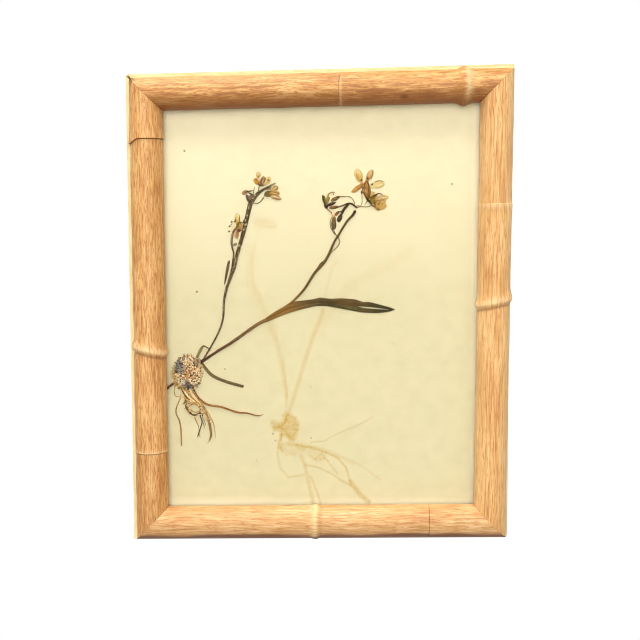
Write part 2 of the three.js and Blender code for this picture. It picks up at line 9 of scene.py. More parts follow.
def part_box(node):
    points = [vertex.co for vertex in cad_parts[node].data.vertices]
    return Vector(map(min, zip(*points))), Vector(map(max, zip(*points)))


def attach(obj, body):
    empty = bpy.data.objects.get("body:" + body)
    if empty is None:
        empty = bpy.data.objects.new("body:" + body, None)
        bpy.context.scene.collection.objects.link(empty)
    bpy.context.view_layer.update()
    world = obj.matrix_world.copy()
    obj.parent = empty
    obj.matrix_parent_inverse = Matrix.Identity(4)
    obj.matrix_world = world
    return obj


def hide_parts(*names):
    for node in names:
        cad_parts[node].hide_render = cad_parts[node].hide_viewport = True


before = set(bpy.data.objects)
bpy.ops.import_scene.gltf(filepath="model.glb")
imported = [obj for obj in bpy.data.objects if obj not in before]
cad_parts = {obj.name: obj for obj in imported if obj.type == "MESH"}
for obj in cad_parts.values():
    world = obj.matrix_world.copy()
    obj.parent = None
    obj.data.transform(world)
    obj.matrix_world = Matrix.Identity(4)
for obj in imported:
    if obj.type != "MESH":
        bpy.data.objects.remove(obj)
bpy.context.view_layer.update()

# Rails
# Four lengths of half-round hardwood, carved to look like cane: a raised joint with a hollow beside it, and
# saw lines where one length of cane seems to end. The rounds are lacquered and the ledge, walls and rabbet
# are raw. The corners are mitred and joined by hand, so the frame is a little out of square.
MM = 0.001
PANE_LOW, PANE_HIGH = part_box("glass_pane")
MIDDLE = (PANE_LOW + PANE_HIGH) / 2
SIGHT_WIDTH, SIGHT_HEIGHT = 192, 245
ROUND_WIDTH, ROUND_HEIGHT, ROUND_STEPS = 20, 10.5, 57
LEDGES = {"top": 2.2, "left": 2.2, "bottom": 0.8, "right": 0.2}
RABBET_WIDTH, RABBET_DEPTH, WALL_HEIGHT = 6.1, 9, 10
MITRE_GAP = 0.07
CORNER_RUN, CORNER_STEPS, PLAIN_STEP = 16, 61, 0.8
JOINT_REACH, JOINT_STEP, SLANT_REACH, HOLLOW_AWAY = 9, 0.3, 14, 3.2
SAW_REACH, SAW_STEP, SAW_HALF_WIDTH, SAW_DEPTH, LIP_FADE = 1.5, 0.15, 0.34, 0.4, 6
NOTCHED, NOTCH_START, NOTCH_DEPTH = (("top", -1), ("left", 1)), 16.5, 1.0
LEFT_FOOT = -87.5
KNOT_ALONG, KNOT_ACROSS = 50.3, 3.6
WANDER_LENGTH, WANDER_WIDTH = 38, 14


def linear(code):
    """An sRGB hex colour as the linear RGBA that a shader takes."""
    parts = [int(code[i:i + 2], 16) / 255 for i in (1, 3, 5)]
    return (*[p / 12.92 if p <= 0.04045 else ((p + 0.055) / 1.055) ** 2.4 for p in parts], 1.0)


def add(tree, kind, links=None, stops=None, **settings):
    """Adds a node with its settings, links or sets its inputs, and fills its colour stops."""
    made = tree.nodes.new("ShaderNode" + kind)
    for name, value in settings.items():
        setattr(made, name, value)
    for socket, value in (links or {}).items():
        if isinstance(value, bpy.types.NodeSocket):
            tree.links.new(value, made.inputs[socket])
        else:
            made.inputs[socket].default_value = value
    for i, (place, colour) in enumerate(stops or []):
        element = made.color_ramp.elements[i] if i < 2 else made.color_ramp.elements.new(place)
        element.position = place
        element.color = colour
    return made


def finish_named(name):
    """A new node material, its tree and its surface shader."""
    material = bpy.data.materials.new(name)
    material.use_nodes = True
    tree = material.node_tree
    return material, tree, tree.nodes["Principled BSDF"]


def surfaced(shader, colour, roughness, height, strength, depth):
    """Links a finish's colour and roughness, and raises its height pattern by a depth in millimetres."""
    tree = shader.id_data
    relief = add(tree, "Bump", {"Height": height, "Strength": strength, "Distance": depth * MM}).outputs[0]
    for socket, value in (("Base Color", colour), ("Roughness", roughness), ("Normal", relief)):
        tree.links.new(value, shader.inputs[socket])


def standing(points):
    """Picture millimetres (right, up, towards the viewer) as metres in the hanging frame."""
    p = np.asarray(points, float) * MM
    return np.column_stack((p[:, 0] + MIDDLE.x, -p[:, 2], p[:, 1] + MIDDLE.z))


def piece(name, points, faces, material, nodes, traits):
    """A mesh piece from picture millimetres, with its traits on the points, put in place of CAD nodes."""
    mesh = bpy.data.meshes.new(name)
    mesh.from_pydata(standing(points).tolist(), [], [list(map(int, face)) for face in faces])
    for trait, values in traits.items():
        values = np.asarray(values, float)
        kind, field = ("FLOAT_COLOR", "color") if values.ndim == 2 else ("FLOAT", "value")
        mesh.attributes.new(trait, kind, "POINT").data.foreach_set(field, values.ravel())
    solid = bmesh.new()
    solid.from_mesh(mesh)
    bmesh.ops.recalc_face_normals(solid, faces=solid.faces)
    solid.to_mesh(mesh)
    solid.free()
    mesh.shade_smooth()
    mesh.set_sharp_from_angle(angle=math.radians(50))
    mesh.materials.append(material)
    made = bpy.data.objects.new(name, mesh)
    bpy.context.scene.collection.objects.link(made)
    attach(made, "root")
    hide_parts(*nodes)


def honey_oak(name, tones, knot, figure, dash, sway, seed, contrast, pores):
    """Lacquered oak-like wood: honey tones in a long figure under a low gloss, with short dark pores and
    pale raw wood where there is no lacquer. Painted shade browns some edges and the hollows, beside dark saw
    cuts, and painted highlights pale the crests, edges and saw lips. The figure and the pores' dash are each
    a length along the grain and a width across it, in millimetres. Real pores are finer, and would not show."""
    material, tree, shader = finish_named(name)
    along = add(tree, "Attribute", attribute_name="along").outputs["Fac"]
    around = add(tree, "Attribute", attribute_name="around").outputs["Fac"]
    plain = add(tree, "CombineXYZ", {"X": along, "Y": around, "Z": seed}).outputs[0]
    slow = (1 / WANDER_LENGTH, 1 / WANDER_WIDTH, 1)
    drift = add(tree, "VectorMath", {0: plain, 1: slow}, operation="MULTIPLY").outputs[0]
    wander = add(tree, "TexNoise", {"Vector": drift, "Scale": 1.0, "Detail": 2.0}).outputs["Fac"]
    offset = add(tree, "Math", {0: wander, 1: -0.5}, operation="ADD").outputs[0]
    shifted = add(tree, "Math", {0: offset, 1: sway, 2: around}, operation="MULTIPLY_ADD").outputs[0]
    grain = add(tree, "CombineXYZ", {"X": along, "Y": shifted, "Z": seed}).outputs[0]
    patterns = []
    for (length, width), detail in ((figure, 3.0), (dash, 2.0)):
        scaled = add(tree, "VectorMath", {0: grain, 1: (1 / length, 1 / width, 1)}, operation="MULTIPLY")
        noise = add(tree, "TexNoise", {"Vector": scaled.outputs[0], "Scale": 1.0, "Detail": detail})
        patterns.append(noise.outputs["Fac"])
    half = 0.13 / contrast
    stops = [(0.5 + step * half, linear(code)) for step, code in zip((-1, 0, 1), tones)]
    broad = add(tree, "Math", {0: offset, 1: 0.45, 2: patterns[0]}, operation="MULTIPLY_ADD").outputs[0]
    tone = add(tree, "ValToRGB", {"Fac": broad}, stops).outputs[0]
    pore = add(tree, "MapRange", {"Value": patterns[1], "From Min": 0.54, "From Max": 0.62,
                                  "To Max": pores}).outputs[0]
    pored = add(tree, "MixRGB", {"Fac": pore, "Color1": tone, "Color2": linear("#AA5E1A")}).outputs[0]
    if knot:
        away = add(tree, "VectorMath", {0: plain, 1: (*knot, seed)}, operation="SUBTRACT").outputs[0]
        flat = add(tree, "VectorMath", {0: away, 1: (0.55, 1, 1)}, operation="MULTIPLY").outputs[0]
        reach = add(tree, "VectorMath", {0: flat}, operation="LENGTH").outputs["Value"]
        eye = add(tree, "MapRange", {"Value": reach, "From Min": 2.0, "From Max": 0.5,
                                     "To Max": 0.95}).outputs[0]
        pored = add(tree, "MixRGB", {"Fac": eye, "Color1": pored, "Color2": linear("#5E3312")}).outputs[0]
    # Painted shade: browner at the edges that turn away from the light.
    heart = add(tree, "Attribute", attribute_name="heart").outputs["Fac"]
    toned = add(tree, "MixRGB", {"Fac": heart, "Color1": pored, "Color2": linear("#84460F")}).outputs[0]
    # Painted highlight on the ring's band, on the lit edges and on the saw lips, broken up by the pores'
    # dashes.
    painted_highlight = add(tree, "Attribute", attribute_name="painted_highlight").outputs["Fac"]
    streaks = add(tree, "MapRange", {"Value": patterns[1], "From Min": 0.60, "From Max": 0.42,
                                     "To Min": 0.5}).outputs[0]
    painted_light_amount = add(tree, "Math", {0: painted_highlight, 1: streaks}, operation="MULTIPLY").outputs[0]
    highlight_band = add(tree, "MixRGB", {"Fac": painted_light_amount, "Color1": toned, "Color2": linear("#F0CE96")}).outputs[0]
    # Painted shade in the hollow, the top left notch and along the bottom rim, and the dark of the saw cuts.
    shade_and_cut_marks = add(tree, "Attribute", attribute_name="shade_and_cut_marks").outputs["Fac"]
    shaded_and_cut = add(tree, "MixRGB", {"Fac": shade_and_cut_marks, "Color1": highlight_band, "Color2": linear("#74431C")}).outputs[0]
    raw = add(tree, "Attribute", attribute_name="raw").outputs["Fac"]
    bare = add(tree, "ValToRGB", {"Fac": patterns[0]}, [
        (0.3, linear("#DDBE7C")), (0.7, linear("#F3DDA4"))]).outputs[0]
    colour = add(tree, "MixRGB", {"Fac": raw, "Color1": shaded_and_cut, "Color2": bare}).outputs[0]
    rough = add(tree, "MapRange", {"Value": patterns[1], "To Min": 0.42, "To Max": 0.62}).outputs[0]
    height = add(tree, "Math", {0: pore, 1: -0.7, 2: patterns[0]}, operation="MULTIPLY_ADD").outputs[0]
    surfaced(shader, colour, rough, height, 0.45, 0.25)
    return material


turn = np.linspace(0, np.pi, ROUND_STEPS)
half_round = np.column_stack((
    ROUND_WIDTH / 2 * (1 + np.cos(turn)), WALL_HEIGHT + ROUND_HEIGHT * np.sin(turn)))
# Round a rail's section, point by point: the flats come first, then the round, and the rabbet's two points
# last. Only the round is carved, and the lacquer reaches down the sight edge below it.
FLATS = 5
CARVED = np.zeros(FLATS + len(turn) + 2)
CARVED[FLATS:-2] = 1
LACQUERED = CARVED.copy()
LACQUERED[-2] = 1

# Each rail: its way outward and along, its sight length and the rails it meets; the place of its cane
# joint and of the painted highlight band on it; the ring's height, its spread behind and ahead, and the
# depth of the hollow; the hollow's side and the joint's slant; its tones, partly the wood's own and partly
# painted light, darkest on the top rail and lightest on the right; how much painted shade browns its sight
# edge and its outer edge, or how much painted highlight pales them where below zero; and its figure, dash,
# sway, seed, contrast and pores.
# Each saw line: its place, the height of its lip (below zero on its other side), how dark its cut is and how
# strong the painted highlight on its lip is, and its run-off at the outer edge.
RAILS = {
    "top": dict(outward=(0, 1), along=(1, 0), length=SIGHT_WIDTH, meets=("left", "right"),
                joint=86.2, band=1.8, ring=(1.9, 3.3, 3.3, 0.0), hollow=-1, slant=0.0,
                saws=[(11.6, 0.35, 0.3, 0.4, 0.8)],
                tones=("#AA6E36", "#C88E48", "#E2B06C"), heart=(0.9, -0.36),
                grain=((14, 1.5), (4.2, 0.62), 7.0, 3.0, 0.8, 0.7)),
    "bottom": dict(outward=(0, -1), along=(-1, 0), length=SIGHT_WIDTH, meets=("right", "left"),
                   joint=2.5, band=0.0, ring=(1.0, 3.4, 2.2, 0.4), hollow=-1, slant=0.0,
                   saws=[(-68, -0.3, 0.3, 0.0, 0.0)],
                   tones=("#BA8048", "#D5A264", "#E6BE88"), heart=(0.0, 0.95),
                   grain=((15, 1.2), (5.5, 0.6), 4.0, 11.0, 0.6, 0.46)),
    "left": dict(outward=(-1, 0), along=(0, 1), length=SIGHT_HEIGHT, meets=("bottom", "top"),
                 joint=-23.5, band=0.0, ring=(1.5, 3.4, 1.9, 0.9), hollow=-1, slant=0.26,
                 saws=[(105.2, 1.1, 0.85, 0.0, -2.6), (LEFT_FOOT, 0.4, 0.8, 0.55, 0.0)],
                 tones=("#B57A42", "#D69E5A", "#E6B676"), heart=(0.15, 0.0),
                 grain=((14, 1.2), (5.0, 0.6), 4.0, 23.0, 0.7, 0.66)),
    "right": dict(outward=(1, 0), along=(0, -1), length=SIGHT_HEIGHT, meets=("top", "bottom"),
                  joint=-2.8, band=0.0, ring=(1.25, 4.5, 2.0, 0.9), hollow=1, slant=-0.2,
                  saws=[(-62, 0.4, 0.0, 0.75, 0.0)],
                  tones=("#C28446", "#DCA662", "#ECC082"), heart=(-0.3, -0.4),
                  grain=((26, 1.3), (8.0, 0.6), 4.0, 37.0, 0.6, 0.55)),
}

# How far each corner stands from square, to the right and up, for (at the right, at the top).
OUT_OF_SQUARE = {(0, 1): (0.6, -1.0), (1, 1): (0.9, 1.5), (0, 0): (-0.3, -1.5), (1, 0): (-1.7, 0.7)}


def bell(distance, spread):
    """A smooth hump: 1 at no distance, fading over the spread."""
    return np.exp(-(distance / spread) ** 2)


def ramp(value, start, run):
    """0 up to the start, then rising to 1 over the run, which is below zero for a fall."""
    return np.clip((value - start) / run, 0, 1)


def grid_faces(index, closed=False):
    """Four-sided faces between the points of a grid, joined round from its last column where closed."""
    if closed:
        index = np.column_stack((index, index[:, 0]))
    corners = (index[:-1, :-1], index[:-1, 1:], index[1:, 1:], index[1:, :-1])
    return np.stack(corners, -1).reshape(-1, 4)


for side, rail in RAILS.items():
    length, joint, hollow = rail["length"], rail["joint"], rail["hollow"]
    wall = ROUND_WIDTH + LEDGES[side]
    flats = [(RABBET_WIDTH, 0), (ROUND_WIDTH, 0), (wall, 0), (wall, WALL_HEIGHT),
             (ROUND_WIDTH + 0.05, WALL_HEIGHT)]
    section = np.vstack((flats, half_round, [(0, RABBET_DEPTH), (RABBET_WIDTH, RABBET_DEPTH)]))
    girth = np.concatenate(([0], np.cumsum(np.linalg.norm(np.diff(section, axis=0), axis=1))))
    u, v = section[:, 0][None, :], section[:, 1][None, :]
    across, above = u - ROUND_WIDTH / 2, v - WALL_HEIGHT
    angle, radius = np.arctan2(above, across), np.maximum(np.hypot(across, above), 1)

    # Stations along the rail, close together at the joint and the saw lines, leaning to the mitres.
    plain = length / 2 - CORNER_RUN
    stretches = [np.linspace(-plain, plain, int(plain / PLAIN_STEP)),
                 joint + np.arange(-JOINT_REACH, JOINT_REACH, JOINT_STEP)]
    stretches += [at + np.arange(-SAW_REACH, SAW_REACH, SAW_STEP) for at, *_ in rail["saws"]]
    stations = np.concatenate(stretches)
    stations = np.unique(stations[np.abs(stations) <= plain].round(2))[:, None]
    mitres = []
    for way in (-1, 1):
        neighbour = rail["meets"][(way + 1) // 2]
        mitre = length / 2 + np.minimum(u, ROUND_WIDTH + LEDGES[neighbour]) - MITRE_GAP
        if (side, way) in NOTCHED:
            mitre = mitre - NOTCH_DEPTH * ramp(u, NOTCH_START, 4) * ramp(v, 0, WALL_HEIGHT)
        share = np.linspace(0, 1, CORNER_STEPS)[1:, None]
        mitres.append(way * (plain + share * (mitre - plain)))
    s = np.vstack((mitres[0][::-1], stations + 0 * u, mitres[1]))

    # The cane joint: a ring and the hollow beside it, with painted shade in the hollow and a painted
    # highlight band on the ring's crest.
    ring_height, behind, ahead, hollow_depth = rail["ring"]
    beside = (s - joint) * hollow
    dip = hollow_depth * bell(beside - HOLLOW_AWAY, 1.0)
    proud = ring_height * bell(beside, np.where(beside > 0, ahead, behind)) - 0.6 * dip
    highlight_band = beside - rail["band"] * hollow
    shade_and_cuts, pale = 0.4 * dip, 0.8 * bell(highlight_band, np.where(highlight_band > 0, 1.4, 2.8))
    run = s + rail["slant"] * across * bell(s - joint, SLANT_REACH)

    # Painted highlight on the sight and outer edges where the rail's heart values are below zero. The top
    # rail's outer one fades towards the right.
    inner, outer = rail["heart"]
    near = ramp(u, 8, -8)
    pale = np.maximum(pale * (1 - max(inner, 0) * near), -inner * near)
    fade = ramp(s, 48, -80) if side == "top" else 1
    pale = np.maximum(pale, -outer * fade * ramp(u, 12, 6))

    # The saw lines: a thin dark cut, with a lip on one side that falls away along the rail, and a painted
    # highlight on that lip.
    for at, lip, dark, light, kink in rail["saws"]:
        beyond = (s - at) * np.sign(lip)
        cut = ramp(np.abs(s - at), SAW_HALF_WIDTH, -SAW_HALF_WIDTH)
        proud = proud + np.where(beyond > 0, abs(lip) * np.exp(-beyond / LIP_FADE), 0)
        proud = proud - SAW_DEPTH * cut * (dark > 0)
        shade_and_cuts = np.maximum(shade_and_cuts, dark * cut)
        lit = np.where(beyond > 0, bell(beyond - 0.7, 2.4 * light), bell(beyond, 0.3))
        pale = np.maximum(pale, light * lit)
        run = run + kink * ramp(u, 14, 5) * bell(s - at, 6)

    # Painted shadow in the notch at the top left, and painted shade along the bottom rail's ragged lower
    # rim.
    if side in ("top", "left"):
        short = length / 2 + u - (-s if side == "top" else s)
        shade_and_cuts = np.maximum(shade_and_cuts, 0.95 * ramp(u, NOTCH_START, 3) * ramp(short, 3.6, -2))
    if side == "bottom":
        ragged = 15.7 + 0.7 * np.sin(s / 17 + 2.1) + 0.4 * np.sin(s / 6.1)
        shade_and_cuts = np.maximum(shade_and_cuts, ramp(u, ragged, 1.8))

    # Knife marks all over the round, none at the corners, so that the mitres close.
    whittled = 0.13 * np.sin(s / 9.7 + 2 * angle + length) + 0.1 * np.sin(s / 4.3 - 3 * angle + joint)
    calm = ramp(np.abs(s), length / 2, -12)
    swell = CARVED[None, :] * (proud + whittled * calm)
    uu, vv = u + across * swell / radius, v + above * swell / radius
    outward, lengthwise = np.array((*rail["outward"], 0.0)), np.array((*rail["along"], 0.0))
    middle = outward * (SIGHT_HEIGHT if rail["outward"][1] else SIGHT_WIDTH) / 2
    points = middle + uu[..., None] * outward + run[..., None] * lengthwise
    points[..., 2] = vv
    right, upper = 0.5 + points[..., 0] / SIGHT_WIDTH, 0.5 + points[..., 1] / SIGHT_HEIGHT
    for (at_right, at_top), (shift, rise) in OUT_OF_SQUARE.items():
        weight = (right if at_right else 1 - right) * (upper if at_top else 1 - upper)
        weight = weight * np.maximum(ramp(points[..., 2], RABBET_DEPTH, 1), LACQUERED)
        points = points + weight[..., None] * np.array((shift, rise, 0))
    rows, columns = run.shape
    index = np.arange(rows * columns).reshape(rows, columns)
    faces = grid_faces(index, closed=True).tolist()
    faces += [index[0][::-1].tolist(), index[-1].tolist()]

    # Painted shade on the bottom rail's ledge: it takes the shaded lacquer colour instead of pale raw wood.
    darkened = (side == "bottom") * (v[0] == WALL_HEIGHT) * (u[0] > ROUND_WIDTH)
    raw = (1 - LACQUERED) * (1 - 0.85 * darkened)
    # Painted shade: browner towards the sight edge and the outer edge by the rail's heart values above zero,
    # and a little browner below the left rail's foot saw line.
    browned = np.interp(u + 0 * s, (1, 9, 14.5, 18.5), (max(inner, 0), 0, 0, max(outer, 0)))
    if side == "left":
        browned = np.maximum(browned, 0.14 * ramp(s, LEFT_FOOT, -2))
    traits = {"along": run.ravel(), "around": np.tile(girth, rows), "raw": np.tile(raw, rows),
              "painted_highlight": pale.ravel(), "shade_and_cut_marks": shade_and_cuts.ravel(), "heart": browned.ravel()}
    knot = None
    if side == "top":
        knot = (KNOT_ALONG, girth[FLATS + np.argmin(np.abs(half_round[:, 0] - KNOT_ACROSS))])
    oak = honey_oak(f"honey_oak_{side}", rail["tones"], knot, *rail["grain"])
    piece(f"rail_{side}_carved", points.reshape(-1, 3), faces, oak, [f"rail_{side}"], traits)

# Glazing
# One pane of clear picture glass, cut square and laid under the rabbet's lip. Both faces are polished and
# coated, so that only a faint green reflection is left, with the thinnest film from a cleaning cloth.
WIPE_LENGTH, WIPE_WIDTH = 60 * MM, 8 * MM


def refinish(name, material):
    """Gives a carried solid its finish, and hands the solid back."""
    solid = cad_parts[name]
    solid.data.materials.clear()
    solid.data.materials.append(material)
    return solid


# Coated float glass: all but invisible, with no white shine over the plant.
glass, tree, shader = finish_named("coated_picture_glass")
shader.inputs["Transmission Weight"].default_value = 1.0
shader.inputs["IOR"].default_value = 1.52
shader.inputs["Specular Tint"].default_value = linear("#1C2420")
where = add(tree, "TexCoord").outputs["Object"]
wiped = add(tree, "VectorMath", {0: where, 1: (1 / WIPE_LENGTH, 1, 1 / WIPE_WIDTH)}, operation="MULTIPLY")
film = add(tree, "TexNoise", {"Vector": wiped.outputs[0], "Scale": 1.0, "Detail": 3.0}).outputs["Fac"]
clear = add(tree, "ValToRGB", {"Fac": film}, [
    (0.4, linear("#FFFFFF")), (0.8, linear("#FDFEFD"))]).outputs[0]
haze = add(tree, "MapRange", {"Value": film, "From Min": 0.45, "From Max": 0.9, "To Max": 0.02}).outputs[0]
surfaced(shader, clear, haze, film, 0.02, 0.01)
refinish("glass_pane", glass)

# Mount sheet
# A sheet of cream drawing paper, mottled with age, that the plant is laid on. An earlier plant has left
# its print in it: a pale tan stain of a crown, two stems and a fan of roots, with a few brown specks.
SHEET_LOW, SHEET_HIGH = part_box("mount_sheet")
SHEET_FRONT, SHEET_BACK = -SHEET_LOW.y / MM, -SHEET_HIGH.y / MM
SHEET_STEP, STAIN_STEP, STAINED = 3.0, 0.5, ((-48, 44), (-130, 32))
STAIN_DEPTH, SPECK_RADIUS = 0.62, 0.75
CLOUD, BLOT, SAP, FIBRE = 55, 9, 1.6, 0.7
half_width = (SHEET_HIGH.x - SHEET_LOW.x) / 2 / MM
half_height = (SHEET_HIGH.z - SHEET_LOW.z) / 2 / MM
lines = []
for half, (low, high) in zip((half_width, half_height), STAINED):
    fine = np.arange(max(low, -half), high, STAIN_STEP)
    beyond = np.linspace(high, half, int((half - high) / SHEET_STEP))
    lines.append(np.concatenate((np.arange(-half, low, SHEET_STEP), fine, beyond)))
across, upward = lines

# Each stroke of the print: its points, its width and its strength.
STAINS = [
    ([(-22, -70), (-15.1, -49.2), (-10.9, -35.4), (-5.3, -18.7), (1.2, -2.1)], 2.4, 0.48),
    ([(1.2, -2.1), (3.6, 12.1), (6.9, 24.7), (10.8, 29.4)], 2.2, 0.22),
    ([(-21.9, -54.9), (-25.2, -30.7), (-28.3, -17.8), (-30.6, -11.6)], 2.6, 0.32),
    ([(-30.6, -11.6), (-37, 4), (-42.5, 18.3), (-42.9, 29.8), (-39, 44), (-35, 52)], 2.4, 0.14),
    ([(-29.2, -16.6), (-34.1, -5.9), (-38.9, 5.3), (-44.0, 17.7), (-43.2, 36.3)], 6.0, 0.2),
    ([(-23.8, -32.2), (-21.5, -54.2), (-22.2, -66.0)], 1.6, 0.34),
    ([(-4.0, -17.0), (2.6, -6.1), (16.3, 11.9), (30.5, 21.1), (42.5, 26.6), (55.0, 34.5)], 6.5, 0.17),
    ([(-19.0, -86.0), (-9.0, -88.5), (0.0, -93.0)], 6.0, 0.34),
    ([(-13.0, -86.0), (-4.0, -87.0), (8.0, -92.0), (20.0, -97.5)], 1.6, 0.36),
    ([(-29.0, -75.5), (-22.0, -72.0), (-15.5, -72.5), (-17.0, -80.5), (-24.5, -79.0)], 3.4, 0.5),
    ([(-38.5, 53.5), (-34, 53.5), (-30, 51.5)], 5.5, 0.40),
    ([(-16.1, -85.5), (-6.7, -87.3), (3, -90.4), (10.1, -94), (14.9, -99.4), (17.9, -109.1)], 1.2, 0.7),
    ([(17.9, -109.1), (23.8, -117.1), (29.2, -121.7)], 2.6, 0.75),
    ([(-10.9, -98.3), (-3.1, -99.5), (5.9, -103.7), (11.9, -108), (18.4, -111.6)], 1.1, 0.6),
    ([(-6.7, -83.9), (1.8, -83.1), (9, -78.8), (18.6, -74.9), (27, -71), (31.8, -67.6)], 0.9, 0.45),
    ([(0.6, -87.3), (17.3, -94.6), (25.7, -99.4), (32.9, -104.8), (37, -107.9)], 0.9, 0.35),
    ([(-27, -83), (-27.7, -92.2), (-26.5, -99.6), (-21.2, -106.2), (-11.5, -104.7)], 1.4, 0.42),
    ([(-13.2, -92.2), (-10.9, -97.7), (-9.1, -105.6), (-7.4, -114.2), (-5.8, -122.8)], 2.2, 0.5),
    ([(-6.9, -105.5), (-3.2, -115.4), (-0.8, -122.8)], 1.3, 0.5),
    ([(-4.3, -94.7), (-0.1, -90.9), (2.9, -94.7), (5.9, -98.9), (9.5, -103.7)], 1.1, 0.5),
    ([(-8, -92), (-3, -95.5), (2, -93.5)], 1.4, 0.4),
    ([(-21.4, -68.0), (-16.9, -70.5), (-16.3, -76.0), (-19.3, -81.0)], 4.0, 0.6),
    ([(-22.6, -70.5), (-22.0, -78.0)], 4.6, 0.55),
    ([(-29.8, -72.2), (-24.6, -74.0)], 4.0, 0.75),
    ([(-29.2, -75.0), (-23.4, -76.0), (-18.5, -74.5)], 3.0, 0.6),
    ([(-21.5, -78.0), (-18.0, -82.0)], 3.0, 0.5),
    ([(-23.8, -67.0), (-21.3, -66.0), (-16.2, -69.0)], 2.0, 0.5),
    ([(-25.2, -76.5), (-26.1, -84.1), (-25.3, -88.9)], 2.0, 0.55),
    ([(-25.9, -87.3), (-21.6, -90.6), (-17.1, -90.9)], 3.4, 0.42),
    ([(-24.0, -85.0), (-16.6, -85.5), (-11.6, -88.5)], 2.4, 0.4),
    ([(-21.7, -67.1), (-22.9, -71.6)], 0.9, 1.6),
    ([(-25.1, -78.5), (-25.6, -82.5)], 0.9, 0.9),
]
# Each brown speck: its place and its strength.
SPECKS = [(-83.2, 97.3, 0.9), (-76.9, 10.6, 0.95), (80.6, 75.7, 0.75), (64.5, 72.8, 0.3),
          (-60.1, -37.8, 0.5), (44.9, -21.7, 0.3), (-6.4, -48.9, 0.3), (-30.5, -78.6, 0.5),
          (-29, -83, 0.35), (-6.7, -81.3, 0.4), (-41, -95.7, 0.25)]


def distance_to(path, x, y):
    """How far each place on the sheet is from a stroke's line."""
    nearest = np.full(x.shape, 1e9)
    for (ax, ay), (bx, by) in zip(path[:-1], path[1:]):
        dx, dy = bx - ax, by - ay
        t = np.clip(((x - ax) * dx + (y - ay) * dy) / (dx * dx + dy * dy), 0, 1)
        nearest = np.minimum(nearest, np.hypot(x - ax - t * dx, y - ay - t * dy))
    return nearest


def rim_of(index):
    """The points round the edge of a grid, in order."""
    return np.concatenate((index[0, :-1], index[:-1, -1], index[-1, :0:-1], index[:0:-1, 0]))


x, y = np.meshgrid(across, upward)
stain = np.zeros_like(x)
ragged_x = x + 0.18 * np.sin(2.3 * y + 1.1 * x) + 0.1 * np.sin(4.9 * y - 2.3 * x)
ragged_y = y + 0.18 * np.sin(2.7 * x - 0.9 * y) + 0.1 * np.sin(5.3 * x + 2.1 * y)
for path, width, strength in STAINS:
    near = np.exp(-(distance_to(path, ragged_x, ragged_y) / (0.6 * width)) ** 3)
    stain = 1 - (1 - stain) * (1 - np.clip(STAIN_DEPTH * strength, 0, 1) * near)
# Painted light: the sheet is drawn paler near the right and bottom lips, and a little at the top left.
painted_light_edges = np.maximum(0.7 * ramp(x, 92, 5), 0.4 * ramp(y, -118, -5))
painted_light_edges = np.maximum(painted_light_edges, 0.2 * bell(np.hypot(x + 74, y - 100), 36))
rows, columns = x.shape
count = rows * columns
front = np.arange(count).reshape(rows, columns)
faces = grid_faces(front).tolist()
rim = rim_of(front)
behind = count + np.arange(len(rim))
faces += np.stack((rim, behind, np.roll(behind, -1), np.roll(rim, -1)), -1).tolist()
faces.append(behind[::-1].tolist())
flat = np.column_stack((x.ravel(), y.ravel(), np.full(count, SHEET_FRONT)))
back = flat[rim] * (1, 1, 0) + (0, 0, SHEET_BACK)
points = np.vstack((flat, back))
stains, painted_light_margin = (np.concatenate((values.ravel(), np.zeros(len(rim)))) for values in (stain, painted_light_edges))

# Drawing paper: matte and softly clouded, with painted shade that darkens it in blotches towards its foot,
# and painted light near the lips. Its fibres are drawn coarser than life, so that their tooth shows.
paper, tree, shader = finish_named("cream_drawing_paper")
place = add(tree, "CombineXYZ", {
    "X": add(tree, "Attribute", attribute_name="across").outputs["Fac"],
    "Y": add(tree, "Attribute", attribute_name="upward").outputs["Fac"]}).outputs[0]
clouds = add(tree, "TexNoise", {"Vector": place, "Scale": 1 / CLOUD, "Detail": 3.0}).outputs["Fac"]
blots = add(tree, "TexNoise", {"Vector": place, "Scale": 1 / BLOT, "Detail": 4.0}).outputs["Fac"]
fibres = add(tree, "TexNoise", {"Vector": place, "Scale": 1 / FIBRE, "Detail": 2.0}).outputs["Fac"]
mottle = add(tree, "Math", {0: blots, 1: 1.4, 2: clouds}, operation="MULTIPLY_ADD").outputs[0]
patchy = add(tree, "MapRange", {"Value": mottle, "From Min": 0.9, "From Max": 1.5}).outputs[0]
cream = add(tree, "ValToRGB", {"Fac": patchy}, [
    (0.0, linear("#E9DBB2")), (0.5, linear("#ECDFB7")), (1.0, linear("#EFE3BD"))]).outputs[0]
# Painted shade: darker and greyer towards the foot, in blotches.
foot = add(tree, "MapRange", {"Value": add(tree, "SeparateXYZ", {"Vector": place}).outputs["Y"],
                              "From Min": 95.0, "From Max": 5.0}).outputs[0]
blotchy = add(tree, "MapRange", {"Value": blots, "From Min": 0.3, "From Max": 0.7, "To Min": 0.7})
painted_light_amount = add(tree, "Math", {0: foot, 1: blotchy.outputs[0]}, operation="MULTIPLY").outputs[0]
paper_with_painted_light = add(tree, "MixRGB", {"Fac": painted_light_amount, "Color1": cream, "Color2": linear("#D4C99E")}).outputs[0]
